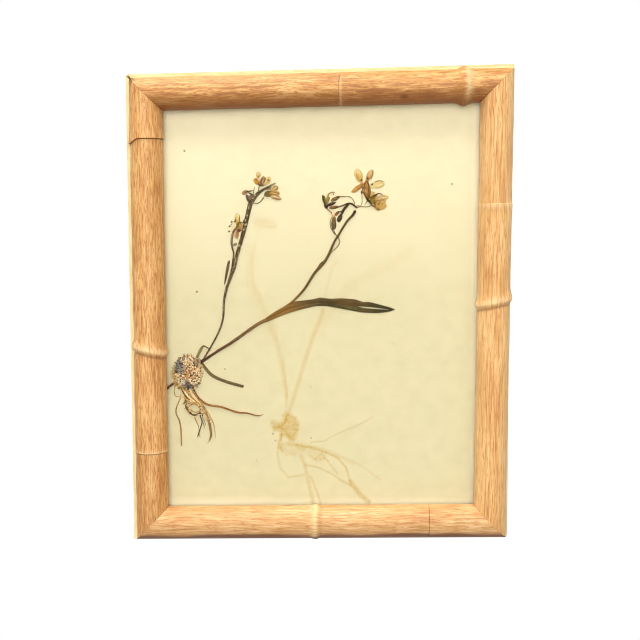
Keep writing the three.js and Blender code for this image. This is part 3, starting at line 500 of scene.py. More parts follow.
# Painted light: paler near the right and bottom lips and at the top left.
paler = add(tree, "Attribute", attribute_name="painted_light_margin").outputs["Fac"]
paper_with_painted_light = add(tree, "MixRGB", {"Fac": paler, "Color1": paper_with_painted_light, "Color2": linear("#FFF1D2")}).outputs[0]
sap = add(tree, "TexNoise", {"Vector": place, "Scale": 1 / SAP, "Detail": 4.0}).outputs["Fac"]
tide = add(tree, "MapRange", {"Value": sap, "From Min": 0.32, "From Max": 0.68,
                              "To Min": 0.7, "To Max": 1.45}).outputs[0]
print_left = add(tree, "Attribute", attribute_name="stain").outputs["Fac"]
amount = add(tree, "Math", {0: print_left, 1: tide}, operation="MULTIPLY").outputs[0]
darkened = add(tree, "MixRGB", {"Fac": amount, "Color1": paper_with_painted_light, "Color2": linear("#C09A48")}).outputs[0]
for *speck, strength in SPECKS:
    away = add(tree, "VectorMath", {0: place, 1: (*speck, 0)}, operation="DISTANCE").outputs["Value"]
    near = add(tree, "MapRange", {"Value": away, "From Min": SPECK_RADIUS, "From Max": 0.5 * SPECK_RADIUS,
                                  "To Max": strength}).outputs[0]
    darkened = add(tree, "MixRGB", {"Fac": near, "Color1": darkened, "Color2": linear("#4A3218")}).outputs[0]
soft = add(tree, "MapRange", {"Value": fibres, "To Min": 0.85, "To Max": 0.98}).outputs[0]
shader.inputs["Specular IOR Level"].default_value = 0.2
surfaced(shader, darkened, soft, fibres, 0.15, 0.05)
piece("mount_sheet_stained", points, faces, paper, ["mount_sheet"],
      {"stain": stains, "painted_light_margin": painted_light_margin, "across": points[:, 0], "upward": points[:, 1]})

# Stems and stalks
# The dried stems, pressed flat on the sheet: rounded above and flat below, ridged along their length.
# The left one is spotted with pale dots where its skin has lifted, the right one is reddish and smooth.
PLANT_FLOOR = SHEET_FRONT + 0.1
STRAND_STEP, END_ROUNDING, SPOT_SPACING = 0.7, 0.5, 1.4


def smooth_path(points, count):
    """Points spaced along a smooth curve through the given ones, and each one's share of the way."""
    p = np.asarray(points, float)
    p = np.vstack((2 * p[0] - p[1], p, 2 * p[-1] - p[-2]))
    at = np.linspace(0, len(points) - 1, count)
    i = np.minimum(at.astype(int), len(points) - 2)
    t = (at - i)[:, None]
    a, b, c, d = p[i], p[i + 1], p[i + 2], p[i + 3]
    curve = 2 * b + (c - a) * t + (2 * a - 5 * b + 4 * c - d) * t ** 2 + (3 * b - a - 3 * c + d) * t ** 3
    return 0.5 * curve, at / (len(points) - 1)


def blend_along(values, share):
    """Values given at even steps, read at each share of the way."""
    values = np.asarray(values, float)
    steps = np.linspace(0, 1, len(values))
    if values.ndim == 1:
        return np.interp(share, steps, values)
    return np.column_stack([np.interp(share, steps, column) for column in values.T])


def strand(points, widths, tints, height=1.0, lift=0.0, sides=10, blunt=False):
    """A pressed strand along a curve: its width and its tint given at even steps along it."""
    length = np.linalg.norm(np.diff(np.asarray(points, float), axis=0), axis=1).sum()
    count = max(6, int(length / STRAND_STEP))
    curve, share = smooth_path(points, count)
    heading = np.gradient(curve, axis=0)
    heading /= np.linalg.norm(heading, axis=1)[:, None]
    width = blend_along(widths, share) * (1 + 0.05 * np.sin(37 * share * length / 20 + length))
    from_end = share if blunt else np.minimum(share, 1 - share)
    taper = np.sqrt(np.clip(from_end * length / END_ROUNDING, 0.15, 1))
    turn = np.linspace(0, 2 * np.pi, sides, endpoint=False)
    side = np.cos(turn)[None, :] * (0.5 * width * taper)[:, None]
    tall = np.minimum(height, 0.75 * width) * taper
    up = (0.5 + 0.5 * np.sign(np.sin(turn)) * np.abs(np.sin(turn)) ** 0.7)[None, :] * tall[:, None]
    x = curve[:, 0, None] - heading[:, 1, None] * side
    y = curve[:, 1, None] + heading[:, 0, None] * side
    verts = np.stack((x, y, PLANT_FLOOR + lift + up), -1).reshape(-1, 3)
    index = np.arange(count * sides).reshape(count, sides)
    faces = grid_faces(index, closed=True).tolist()
    faces += [index[0].tolist(), index[-1][::-1].tolist()]
    tint = np.repeat(blend_along([linear(t) for t in tints], share), sides, axis=0)
    across = np.tile(np.cos(turn), count)
    return verts, faces, {"tint": tint, "along": np.repeat(share * length, sides), "across": across}


def gathered(parts):
    """Several parts as one mesh."""
    faces, start = [], 0
    for verts, part_faces, traits in parts:
        faces += [[start + i for i in face] for face in part_faces]
        start += len(verts)
    traits = {key: np.concatenate([part[2][key] for part in parts]) for key in parts[0][2]}
    return np.vstack([part[0] for part in parts]), faces, traits


def dried_skin(name, ridge_length, ridges, spots, roughness, shades=(0.95, 1.7)):
    """Dried plant skin, dull and with hardly any shine: the tint along the piece, with fine lengthwise
    ridges and, where there are spots, pale dots along the middle. The ridges' length is in millimetres, and
    shades are how dark and how light the ridges make the tint."""
    material, tree, shader = finish_named(name)
    tint = add(tree, "Attribute", attribute_name="tint").outputs["Color"]
    along = add(tree, "Attribute", attribute_name="along").outputs["Fac"]
    across = add(tree, "Attribute", attribute_name="across").outputs["Fac"]
    run = add(tree, "Math", {0: along, 1: 1 / ridge_length}, operation="MULTIPLY").outputs[0]
    ribs = add(tree, "Math", {0: across, 1: ridges}, operation="MULTIPLY").outputs[0]
    place = add(tree, "CombineXYZ", {"X": run, "Y": ribs}).outputs[0]
    noise = add(tree, "TexNoise", {"Vector": place, "Scale": 1.0, "Detail": 3.0}).outputs["Fac"]
    shade = add(tree, "MapRange", {"Value": noise, "From Min": 0.3, "From Max": 0.7,
                                   "To Min": shades[0], "To Max": shades[1]}).outputs[0]
    ridged = add(tree, "VectorMath", {0: tint, "Scale": shade}, operation="SCALE").outputs[0]
    if spots:
        dotted = add(tree, "CombineXYZ", {
            "X": add(tree, "Math", {0: along, 1: 1 / SPOT_SPACING}, operation="MULTIPLY").outputs[0],
            "Y": add(tree, "Math", {0: across, 1: 0.95}, operation="MULTIPLY").outputs[0]}).outputs[0]
        cells = add(tree, "TexVoronoi", {"Vector": dotted, "Scale": 1.0, "Randomness": 0.5})
        dot = add(tree, "MapRange", {"Value": cells.outputs["Distance"], "From Min": 0.46, "From Max": 0.24})
        rim = add(tree, "Math", {0: across, 1: across}, operation="MULTIPLY").outputs[0]
        inner = add(tree, "MapRange", {"Value": rim, "From Min": 0.8, "From Max": 0.5, "To Max": spots})
        pale = add(tree, "Math", {0: dot.outputs[0], 1: inner.outputs[0]}, operation="MULTIPLY").outputs[0]
        ridged = add(tree, "MixRGB", {"Fac": pale, "Color1": ridged, "Color2": linear("#BCA67C")}).outputs[0]
    dull = add(tree, "MapRange", {"Value": noise, "To Min": roughness, "To Max": roughness + 0.2}).outputs[0]
    shader.inputs["Specular IOR Level"].default_value = 0.04
    surfaced(shader, ridged, dull, noise, 0.5, 0.12)
    return material


def lay(node, parts, material):
    """Lays a piece of the plant, gathered from its parts, in place of its solid."""
    points, faces, traits = gathered(parts)
    piece(f"{node}_pressed", points, faces, material, [node], traits)


smooth_stem = dried_skin("dried_stem_skin", 5.0, 2.2, 0, 0.6)
spotted_stem = dried_skin("dried_spotted_stem_skin", 5.0, 2.2, 0.95, 0.6)

OLIVE, DARK = "#473A23", "#3A2C1E"
lay("stem_right", [
    strand([(-76.4, -34.4), (-65, -26.8), (-54.9, -20.6), (-41, -10.8), (-34, -6.9)],
           [1.6, 1.6, 1.8, 1.9, 2.2], ["#3E281C", "#4E3422", "#5A4028", "#644A2C", "#74552E"]),
], smooth_stem)
lay("stem_left", [
    strand([(-75, -34), (-69, -24.3), (-64.6, -16.5), (-61.9, -10.2),
            (-60.5, -4.1), (-60, 4.8), (-58.2, 12.7)],
           [1.0, 1.0, 1.1, 1.2, 1.2, 1.3, 1.8], ["#4A3024", "#4A3626", OLIVE, OLIVE, OLIVE, OLIVE, OLIVE]),
    strand([(-58.5, 12), (-55.5, 20.2), (-53.4, 25.3), (-51.5, 33.2),
            (-46.9, 48.5), (-44, 60.3), (-42.7, 65)],
           [1.6, 2.0, 2.1, 2.2, 2.4, 2.8, 2.9],
           [OLIVE, "#483A22", "#4A3C24", "#483A22", "#443720", "#443720", OLIVE]),
    strand([(-43, 64.2), (-40.3, 68.5), (-37.5, 71.4), (-35.2, 72.9),
            (-32.3, 74.6), (-29.6, 76), (-27, 77.2)],
           [2.9, 2.5, 1.9, 1.6, 1.3, 1.05, 0.7],
           [OLIVE, OLIVE, "#463A22", "#463A22", "#463A24", "#4A3E28", "#524630"]),
    strand([(-56.5, 17.8), (-54.9, 25.3), (-53.5, 33.8), (-54.2, 37.2), (-54.7, 40.3),
            (-54.6, 43.5), (-53.9, 46.7), (-52.6, 49.1), (-50.9, 51)],
           [1.0, 1.0, 1.0, 1.1, 1.4, 1.3, 1.2, 1.2, 1.0],
           [OLIVE, "#4A3424", "#4E3A26", "#4E3A28", "#523F28", "#5A4428", "#5E4A28", "#665028", "#6E5A2C"]),
    strand([(-38, 71.1), (-37.6, 74), (-37, 76.1)], [0.7, 0.55, 0.6], ["#54482E", "#5A5036", "#54482E"]),
    strand([(-41.3, 69.2), (-40.9, 71.4), (-40.5, 73.2), (-40.1, 75)],
           [0.7, 0.55, 0.45, 0.3], ["#54482E", "#54482E", "#5E5238", "#7A6C4C"]),
    strand([(-42, 65.6), (-41, 65.3), (-38.8, 64.8), (-36.6, 66), (-34.1, 69)],
           [0.7, 0.6, 0.6, 0.6, 0.7], [OLIVE, "#5A4E34", "#5E5238", "#5A4E34", DARK]),
    strand([(-43.8, 71.6), (-42.4, 70.4), (-41.2, 69.4)], [0.7, 0.8, 0.8], ["#3E3420", "#3E3420", OLIVE]),
    strand([(-33.8, 73.8), (-32.4, 73.7), (-31, 73.8), (-29.3, 73.4)],
           [0.7, 0.9, 0.9, 0.6], ["#54421F", "#6A4420", "#664420", "#75562C"]),
    strand([(-31.8, 74.6), (-30.6, 74.7), (-29.6, 74.4)],
           [0.5, 0.6, 0.5], ["#5E4620", "#664822", "#7A5A30"]),
], spotted_stem)
lay("branch_upper", [
    strand([(-21.5, 1.4), (-16.7, 4.9), (-9.9, 12.2), (-3.8, 21.6), (3.3, 29.8), (8.6, 40.9),
            (10.9, 44.5), (14, 49.7), (17.1, 54.3), (19.9, 57), (21.3, 59.3), (21.5, 60.2)],
           [1.1, 1.3, 1.4, 1.7, 1.7, 1.3, 1.3, 1.3, 1.3, 1.5, 1.6, 1.3],
           ["#7E5A2C", "#6E4F28", "#5E4526", "#5A4426", "#5A4628", "#594527",
            "#5A4628", "#5A462A", "#544026", "#483622", "#42301F", "#4A3222"]),
    strand([(-1.2, 24.5), (0.5, 27), (1.4, 29)],
           [1.6, 2.6, 0.7], ["#5A4426", "#5A4426", "#4A3A24"], lift=0.2),
    strand([(3.6, 32), (10.1, 37.5), (12, 40.6), (11.7, 42.4), (10.6, 44.4),
            (8.8, 46.1), (7.6, 47.9), (6.3, 50.7), (6.3, 53.8), (7.5, 56.4)],
           [0.5, 0.5, 0.5, 0.55, 0.6, 0.6, 0.55, 0.5, 0.5, 0.5],
           ["#6A5430", "#6A5430", "#5C4A2A", "#5C4A2A", "#5C4A2A",
            "#5E4C2C", "#6A5834", "#75633C", "#7A6840", "#8A7448"], lift=0.3),
    strand([(9.6, 45.4), (8.9, 46.6), (8.5, 47.9)], [0.6, 0.6, 0.6], ["#5A4A2A", "#5A4A2A", "#4A3C22"]),
], smooth_stem)
lay("flower_stalks", [
    strand([(22.8, 61.5), (21.5, 62.6), (20.4, 63.5), (18.5, 64.4), (15.9, 64.3)],
           [0.8, 1.1, 1.0, 1.0, 1.0], ["#5A3A28", "#4E3422", "#4A3622", "#4A3824", "#4A3824"]),
    strand([(21.0, 63.4), (18.7, 64.4), (16.6, 64.2), (14.1, 63.3), (11.0, 62.3)],
           [1.0, 1.0, 0.9, 0.8, 0.7], ["#4A3824", "#443422", "#443422", "#4E3A26", "#5A3E2E"]),
    strand([(17.8, 64.1), (15.9, 62.4), (14.1, 60.0), (13.1, 57.5)],
           [1.2, 1.7, 1.7, 1.5], ["#443422", "#403320", "#423622", "#423828"]),
    strand([(21.3, 63.2), (21.1, 65.0), (20.0, 67.2), (18.2, 68.5), (16.0, 68.6)],
           [0.5, 0.45, 0.45, 0.45, 0.45], ["#5A4A30", "#6E5E3C", "#6E5E3C", "#6E5E3C", "#6E5E3C"]),
    strand([(16.0, 68.8), (14.1, 68.6), (12.3, 68.6)], [0.45, 0.5, 0.6], ["#6E5E3C", "#6A5838", "#5A4A2C"]),
    strand([(24.6, 62.4), (25.7, 64.6), (25.8, 67.2), (25.7, 70.5)],
           [0.5, 0.5, 0.45, 0.5], ["#7A6640", "#8A7C58", "#8A7C58", "#6E5A3C"]),
    strand([(22.0, 61.6), (23.5, 62.1), (25.6, 62.4), (28.2, 62.2), (30.4, 62.6), (32.3, 63.5)],
           [0.6, 0.5, 0.5, 0.5, 0.55, 0.6],
           ["#6A4630", "#7A5A3C", "#7A6A44", "#75663E", "#6E5E38", "#5E4C2C"]),
    strand([(22.1, 62.8), (23.5, 63.0), (24.8, 62.4)], [0.5, 0.5, 0.45], ["#5E3E2C", "#7A5A40", "#7A6A48"]),
    strand([(27.4, 62.8), (27.9, 64.4), (28.9, 65.5), (30.2, 66.2)],
           [0.35, 0.4, 0.5, 1.0], ["#8A7A54", "#6E5C3A", "#54442A", "#443620"]),
], smooth_stem)

# Leaves
# The long leaf is folded on its midrib and split towards the tip. A cut basal leaf and a thin bent shoot
# grow from the crown, and a short sheath leaf lies along the left stem. Pressed, they are thin as paper.
leaf_skin = dried_skin("dried_leaf", 9.0, 4.0, 0, 0.7)
UPPER_EDGE = [(-34.6, -6), (-29, -2.3), (-23, 1.2), (-17, 4.3), (-5.1, 5.6), (-0.4, 6.8), (6.1, 5.9),
              (12.6, 6.3), (21.5, 5.5), (26.7, 3.7), (29.7, 4), (35.6, 2.5), (42.1, 0.7), (46, -0.8)]
LOWER_EDGE = [(-33.6, -8.4), (-27.2, -5.6), (-20.1, -2.9), (-11.1, -0.3), (-2.8, 1.5), (3.1, 1.5),
              (15.5, -0.7), (24.4, -2.5), (35.1, -3.1), (42.1, -2.3), (46, -0.8)]
MIDRIB = [(-34.1, -7.2), (-20, -0.6), (-8, 2.8), (2, 3.6), (14, 2.2), (22.9, 1.2)]
LEAF_BASE, LEAF_TIP, LEAF_THICKNESS = -34.1, 45.9, 0.14
SLIT_UPPER = [(22.9, 1.2), (27, 1.0), (34, 0.3), (42, -0.9), (46, -0.8)]
SLIT_LOWER = [(22.9, 1.2), (26.7, 0.1), (33.5, -0.5), (42, -0.95), (46, -0.8)]


def height_at(edge, x):
    """How high an edge of the leaf lies at each place along it."""
    ex, ey = np.asarray(edge, float).T
    return np.interp(x, ex, ey)


def blade(outer, inner, tints, fold, steps=110, ranks=9):
    """One half of the leaf, a thin closed strip between its outer edge and the midrib."""
    x = np.linspace(LEAF_BASE, LEAF_TIP, steps)[:, None]
    t = np.linspace(0, 1, ranks)[None, :]
    y = height_at(inner, x) * (1 - t) + height_at(outer, x) * t
    rise = 0.18 + fold * np.sin(np.pi * t) * ramp(x, 46, -30) + 0.06 * np.sin(x / 3.1 + 4 * t)
    top = np.stack((x + 0 * t, y, PLANT_FLOOR + 0.12 + rise), -1)
    bottom = top - (0, 0, LEAF_THICKNESS)
    count = steps * ranks
    index = np.arange(count).reshape(steps, ranks)
    quads, rim = grid_faces(index), rim_of(index)
    walls = np.stack((rim, np.roll(rim, -1), np.roll(rim, -1) + count, rim + count), -1)
    faces = quads.tolist() + (quads[:, ::-1] + count).tolist() + walls.tolist()
    along, across = (x - LEAF_BASE + 0 * t).ravel(), (t + 0 * x).ravel()
    tint = blend_along([linear(c) for c in tints], along / (LEAF_TIP - LEAF_BASE))
    traits = {"tint": np.tile(tint, (2, 1)), "along": np.tile(along, 2), "across": np.tile(across, 2)}
    return np.vstack((top.reshape(-1, 3), bottom.reshape(-1, 3))), faces, traits


lay("leaf_long", [
    blade(UPPER_EDGE, MIDRIB + SLIT_UPPER[1:],
          ["#684A24", "#745226", "#664C26", "#4C3C22", "#4A3A20",
           "#584224", "#4C3E22", "#423A22", "#332C1C"], 0.35),
    blade(LOWER_EDGE, MIDRIB + SLIT_LOWER[1:],
          ["#684A24", "#7E5A2A", "#6E5028", "#483C24", "#423822",
           "#4C4024", "#4A3E22", "#403620", "#302818"], 0.25),
], leaf_skin)
lay("leaf_basal", [
    strand([(-75.8, -31.8), (-72.3, -37.2), (-67.6, -42), (-59.6, -45.6), (-48.5, -48.8)],
           [1.7, 1.9, 2.0, 1.9, 1.8],
           ["#584A2C", "#665636", "#645434", "#5E4E30", "#56482C"], height=0.45, blunt=True),
], leaf_skin)
lay("shoot_thin", [
    strand([(-77.6, -30.8), (-75.2, -25.8), (-73.1, -23.2), (-70.4, -24.6), (-68.9, -26.5)],
           [1.5, 1.8, 0.9, 0.7, 0.4],
           ["#6A5E3C", "#7A6A44", "#5A4A30", "#5A4A30", "#6A5A40"], height=0.5, lift=0.5),
], leaf_skin)
lay("sheath_leaf", [
    strand([(-59.6, 15), (-58.1, 22), (-57.3, 26), (-56.4, 30)],
           [0.7, 1.6, 1.7, 1.2], ["#4A3A24", "#5E4A30", "#5A4A32", "#46382A"], height=0.45),
], leaf_skin)

# Roots
# A reddish runner, a bundle of pale fibrous roots, one thin root on the left and a dark stub that runs
# under the rail's lip. They are soft, crinkled and dry.
root_skin = dried_skin("dried_root_skin", 3.0, 3.0, 0, 0.75, (0.75, 1.75))
TAN, STRAW, RUST, BARK = "#B08A54", "#D2B076", "#9A6A3A", "#5A4028"
lay("root_runner", [
    strand([(-80.5, -47.8), (-79.8, -50.4), (-78.5, -53.2), (-76.1, -56.5),
            (-73.1, -59.0), (-70.1, -60.4), (-65.8, -61.1), (-61.9, -61.8),
            (-52.8, -64.9), (-46.6, -65.4), (-40.3, -67.1), (-36.2, -66.3)],
           [1.0, 1.0, 1.0, 1.1, 1.3, 1.4, 1.3, 1.2, 1.2, 1.0, 0.8, 0.4],
           ["#6A4828", "#755030", "#7A5430", "#865C32", "#8E6236", "#8E6438",
            "#8A5E34", "#86582E", "#84582E", "#7E5630", "#7E6038", "#94784E"]),
], root_skin)
BUNDLE = [(-86.3, -48.2), (-84.2, -53.0), (-81.3, -56.9), (-77.9, -59.5),
          (-74.9, -62.5), (-72.4, -66.0), (-70.5, -71.2)]
LOOP = [(-84.8, -56.5), (-85.1, -59.5), (-84.3, -62.5), (-82.3, -65.2),
        (-80.1, -66.7), (-78.0, -66.3), (-75.9, -65.1)]
BUNDLE_HAIRS, LOOP_HAIRS, SPINE_STEPS = 85, 35, 60
HAIR_TINTS = [TAN, STRAW, RUST, BARK, "#E4CC9C"]


def loose_hair(rng, foot, lean, lengths, width, tints, highest):
    """A short bent hair, with a length, a bend, a tint and a lift of its own. Real ones are finer, and
    would not show."""
    tip = foot + rng.uniform(*lengths) * np.array((np.cos(lean), np.sin(lean)))
    bend = (foot + tip) / 2 + rng.uniform(-0.4, 0.4, 2)
    tint = rng.choice(tints)
    lift = rng.uniform(0.3, highest)
    return strand([foot, bend, tip], [width, 0.45, 0.2], [tint] * 3, height=0.3, lift=lift, sides=5)


rng = np.random.default_rng(5)
root_hairs = []
for spine in [BUNDLE] * BUNDLE_HAIRS + [LOOP] * LOOP_HAIRS:
    curve, _ = smooth_path(spine, SPINE_STEPS)
    foot = curve[rng.integers(SPINE_STEPS)] + rng.uniform(-1.1, 1.1, 2)
    lean = rng.uniform(-2.4, 0.4)
    root_hairs.append(loose_hair(rng, foot, lean, (0.9, 2.6), 0.5, HAIR_TINTS, 1.6))
lay("roots_fibrous", root_hairs + [
    strand(BUNDLE + [(-69.5, -76.9), (-69.6, -80.3), (-70.7, -83.3)],
           [3.0, 3.0, 2.6, 2.4, 2.0, 1.7, 1.6, 1.4, 1.3, 0.7],
           ["#A4804C", "#B29058", "#AE8C58", "#A88A54", "#A0804A",
            "#967442", "#866638", "#806236", "#80643A", "#967C50"]),
    strand([(-87.6, -49.1), (-86.2, -52.6), (-84.1, -55.4), (-81.7, -57.6), (-79.1, -59.0)],
           [0.9, 1.0, 0.9, 0.8, 0.5], ["#5A4024", "#6A4A28", "#755430", "#7A5A34", "#8A683E"], lift=0.7),
    strand([(-85.7, -51.7), (-83.4, -54.3), (-80.8, -56.8), (-78.5, -58.4), (-76.2, -60.6)],
           [1.0, 1.4, 1.3, 1.0, 0.7],
           ["#D2B482", "#DEC694", "#DAC08C", "#CAAA74", "#BC9A62"], height=0.6, lift=1.0),
    strand([(-82.4, -50.0), (-80.1, -54.1), (-77.8, -57.0), (-75.5, -59.5), (-73.4, -61.9)],
           [1.2, 1.6, 1.5, 1.2, 0.8],
           ["#C09C6A", "#D0B280", "#CAAC78", "#C0A068", "#B08E58"], height=0.6, lift=0.85),
    strand([(-80.7, -50.6), (-78.9, -54.3), (-76.5, -57.3), (-74.0, -60.2), (-72.7, -62.5)],
           [0.4, 0.5, 0.5, 0.5, 0.4], ["#8A6034", "#946838", "#946C3C", "#8E6C3C", "#8A6A3C"], lift=1.1),
    strand([(-84.4, -51.7), (-82.1, -54.7), (-79.6, -57.3), (-76.6, -59.5)],
           [0.35, 0.4, 0.4, 0.35], ["#7A5630", "#84603A", "#84623A", "#8A6A3E"], lift=1.3),
    strand([(-86.2, -54.7), (-84.3, -56.9), (-81.3, -58.4), (-77.9, -59.7), (-75.7, -60.8)],
           [1.0, 1.4, 1.4, 1.1, 0.8], ["#A8814E", "#AE8850", "#B28C54", "#A8824A", "#9A7642"], lift=0.5),
    strand(LOOP, [1.2, 1.5, 1.2, 1.0, 1.0, 0.9, 0.7],
           ["#6E5430", "#6A5230", "#664E2E", "#5A4428", "#4E3A22", "#5A4226", "#7A5A34"], lift=0.3),
    strand([(-83.5, -57.8), (-83.8, -60.2), (-82.9, -62.8), (-81.0, -64.9)],
           [0.5, 0.6, 0.5, 0.35], ["#C2A678", "#C8AC7E", "#BC9E6C", "#A88856"], lift=1.0),
    strand([(-82.8, -60.6), (-80.0, -59.7), (-77.2, -60.5), (-75.9, -62.4),
            (-76.9, -64.4), (-79.5, -64.8), (-81.7, -63.2), (-82.9, -60.8)],
           [0.7, 0.8, 0.8, 0.8, 0.7, 0.6, 0.6, 0.5],
           ["#B0884A", "#B88E4E", "#BC9250", "#A87E42",
            "#A88046", "#B48C50", "#B48C50", "#B0884A"], lift=0.4),
    strand([(-74.9, -60.4), (-72.3, -63.1), (-69.8, -67.7),
            (-67.8, -72.1), (-66.9, -77.3), (-66.7, -81.3)],
           [0.7, 0.7, 0.6, 0.5, 0.5, 0.3],
           ["#A88A54", "#A88A54", "#A08250", "#9A7E4E", "#A88C5C", "#B49A6C"]),
    strand([(-76.6, -60.8), (-74.5, -63.4), (-72.6, -67.1), (-71.1, -70.3)],
           [0.7, 0.8, 0.7, 0.4], ["#D2B078", "#D6B87E", "#CCAC72", "#B89258"], lift=0.8),
    strand([(-80.1, -66.9), (-78.7, -70.4), (-77.3, -73.8), (-76.9, -77.1)],
           [0.6, 0.6, 0.5, 0.4], ["#9A7644", "#A07C48", "#A8844E", "#8E6E40"]),
    strand([(-76.0, -64.9), (-75.8, -67.7), (-74.9, -71.0),
            (-75.9, -74.7), (-77.1, -78.2), (-78.0, -80.9)],
           [0.7, 0.7, 0.7, 0.6, 0.7, 0.4],
           ["#5E4526", "#5E4526", "#6A4E2A", "#5E4628", "#5A4428", "#6A5434"], lift=0.2),
    strand([(-75.2, -65.4), (-74.5, -67.7), (-74.2, -70.4)],
           [0.5, 0.5, 0.3], ["#5A4224", "#5A4224", "#6A5230"]),
    strand([(-74.6, -70.8), (-73.8, -73.0), (-73.5, -75.4)], [0.35, 0.35, 0.2], [BARK, BARK, BARK]),
    strand([(-73.9, -69.5), (-73.1, -71.6), (-72.8, -73.6)], [0.35, 0.35, 0.2], [BARK, BARK, BARK]),
    strand([(-77.0, -78.2), (-76.5, -79.9), (-76.2, -81.5)], [0.5, 0.4, 0.25], [TAN, TAN, STRAW]),
    strand([(-70.7, -83.0), (-71.3, -83.8), (-71.8, -85.1)], [0.5, 0.4, 0.25], [TAN, TAN, STRAW]),
], root_skin)
lay("root_left", [
    strand([(-88.5, -53.7), (-88.2, -55.6), (-89.2, -58.0), (-91.0, -62.1), (-91.2, -65.8),
            (-89.5, -69.5), (-88.5, -73.9), (-88.2, -80.4), (-88.2, -86.5)],
           [0.5, 0.6, 0.6, 0.7, 0.8, 0.8, 0.9, 0.9, 0.8],
           ["#B89C66", "#A8894F", "#9A7C46", "#8E7040", "#907040",
            "#94713E", "#98733E", "#9A733E", "#947040"]),
    strand([(-92.3, -50.8), (-92.1, -52.8), (-91.5, -54.5), (-90.3, -55.2), (-88.5, -54.8)],
           [0.5, 0.5, 0.5, 0.5, 0.4], [TAN, "#8E7040", "#8A6C3C", "#9A7C48", "#A88A54"]),
    strand([(-92.3, -46.1), (-91.7, -48.2), (-92.1, -51.1)],
           [0.7, 0.6, 0.5], ["#C09A54", "#B08A48", "#A88648"]),
], root_skin)
lay("root_stub", [
    strand([(-90.2, -44.8), (-93, -47.1), (-98.6, -51.4)],
           [1.2, 1.5, 1.5], ["#7A5438", "#6A4632", "#5E3E30"]),
], root_skin)

# Root crown
# The corm that the stems and roots grow from, pressed to a flat cake. It is crusted with grains of dried
# soil, blue-black at its upper left and foot, tan on its right, and bristles with broken root hairs.
CROWN_CENTRE, CROWN_WIDTH, CROWN_HEIGHT, CROWN_THICKNESS = np.array((-83.0, -39.6)), 17.4, 21.0, 1.9
GRAINS, BRISTLES, TUFT = 800, 130, 60
# The dust on a grain and how far it covers it. The pale kinds lie thinly where the crown itself is dark.
DARK_SOIL, PALE_SOIL = "#2A221C", "#F4E4BC"
SOIL_DUST = [(DARK_SOIL, 0.8), (PALE_SOIL, 0.6), (PALE_SOIL, 0.2), ("#D09A58", 0.4)]
# Each patch of colour on the crown: its middle, its reach and its tint.
CROWN_TINTS = [((-89.0, -35.0), 4.2, "#6E675F"), ((-86.6, -38.2), 2.6, "#857766"),
               ((-83.2, -48.4), 3.6, "#665C52"), ((-87.2, -45.6), 2.6, "#A89F88"),
               ((-78.4, -48.2), 2.2, "#685A4C"), ((-81.5, -39.5), 4.6, "#B0783F"),
               ((-77.2, -40.0), 3.4, "#CEAE7A"), ((-84.4, -32.0), 3.4, "#BC9A6E"),
               ((-91.0, -43.5), 3.0, "#C0A268"), ((-77.5, -34.0), 2.6, "#967A5C"),
               ((-79.6, -45.0), 3.0, "#C29E72")]


def crown_tint(x, y):
    """The crown's colour at a place: its patches, each weighed by how near it is."""
    near = np.array([bell(np.hypot(x - px, y - py), reach) for (px, py), reach, _ in CROWN_TINTS])
    weights = (near + 1e-4) ** 2
    colours = np.array([linear(colour) for _, _, colour in CROWN_TINTS])
    return np.einsum("kn,kc->nc", weights, colours) / weights.sum(0)[:, None]


def round_lump(subdivisions):
    """The points and faces of a ball of radius 1."""
    ball = bmesh.new()
    bmesh.ops.create_icosphere(ball, subdivisions=subdivisions, radius=1)
    verts = np.array([v.co for v in ball.verts])
    faces = [[v.index for v in face.verts] for face in ball.faces]
    ball.free()
    return verts, faces


def crown_place(reach, turn):
    """A place on the crown: its share of the way out from the middle, and its bearing."""
    return CROWN_CENTRE + reach * np.array((np.cos(turn) * CROWN_WIDTH, np.sin(turn) * CROWN_HEIGHT)) / 2


def pebble(centre, size, rng):
    """A grain of soil: a small lump with a few uneven faces."""
    verts, faces = round_lump(1)
    verts = verts * rng.uniform(0.75, 1.2, (len(verts), 1)) * np.array(size) / 2 + centre
    own = crown_tint(verts[:1, 0], verts[:1, 1])
    dust, share = SOIL_DUST[rng.integers(len(SOIL_DUST))]
    if dust != DARK_SOIL:
        share *= np.clip((own[0, 0] - 0.14) / 0.25, 0.05, 1)
    tint = own * (1 - share) + np.array(linear(dust)) * share
    traits = {"tint": np.tile(tint, (len(verts), 1)), "along": verts[:, 0], "across": verts[:, 1] / 3}
    return verts, faces, traits


rng = np.random.default_rng(8)
ball, faces = round_lump(5)
bx, by, bz = ball.T
bearing = np.arctan2(by, bx)
lump = 0.07 * np.sin(4.1 * bx + 5.3 * by + 1) + 0.06 * np.sin(7.3 * by - 5.1 * bx + 0.5)
lump += 0.03 * np.sin(17 * bx + 3) * np.sin(19 * by + 1)
lump += (0.055 * np.sin(11 * bearing + 0.6) * np.clip(0.4 + bx - 0.3 * by, 0.15, 1)
         + 0.02 * np.sin(27 * bearing))
wide = 0.97 + lump * (1 - np.abs(bz))
rough = 0.12 * np.sin(23 * bx + 9 * by) * np.sin(21 * by - 5 * bx + 2)
flat = np.sign(bz) * np.abs(bz) ** 0.6
x = CROWN_CENTRE[0] + bx * wide * CROWN_WIDTH / 2
y = CROWN_CENTRE[1] + by * wide * CROWN_HEIGHT / 2
z = PLANT_FLOOR + CROWN_THICKNESS / 2 * (0.85 + 0.85 * flat) + np.where(flat > 0, rough, 0)
parts = [(np.column_stack((x, y, z)), faces, {"tint": crown_tint(x, y), "along": x, "across": y / 3})]
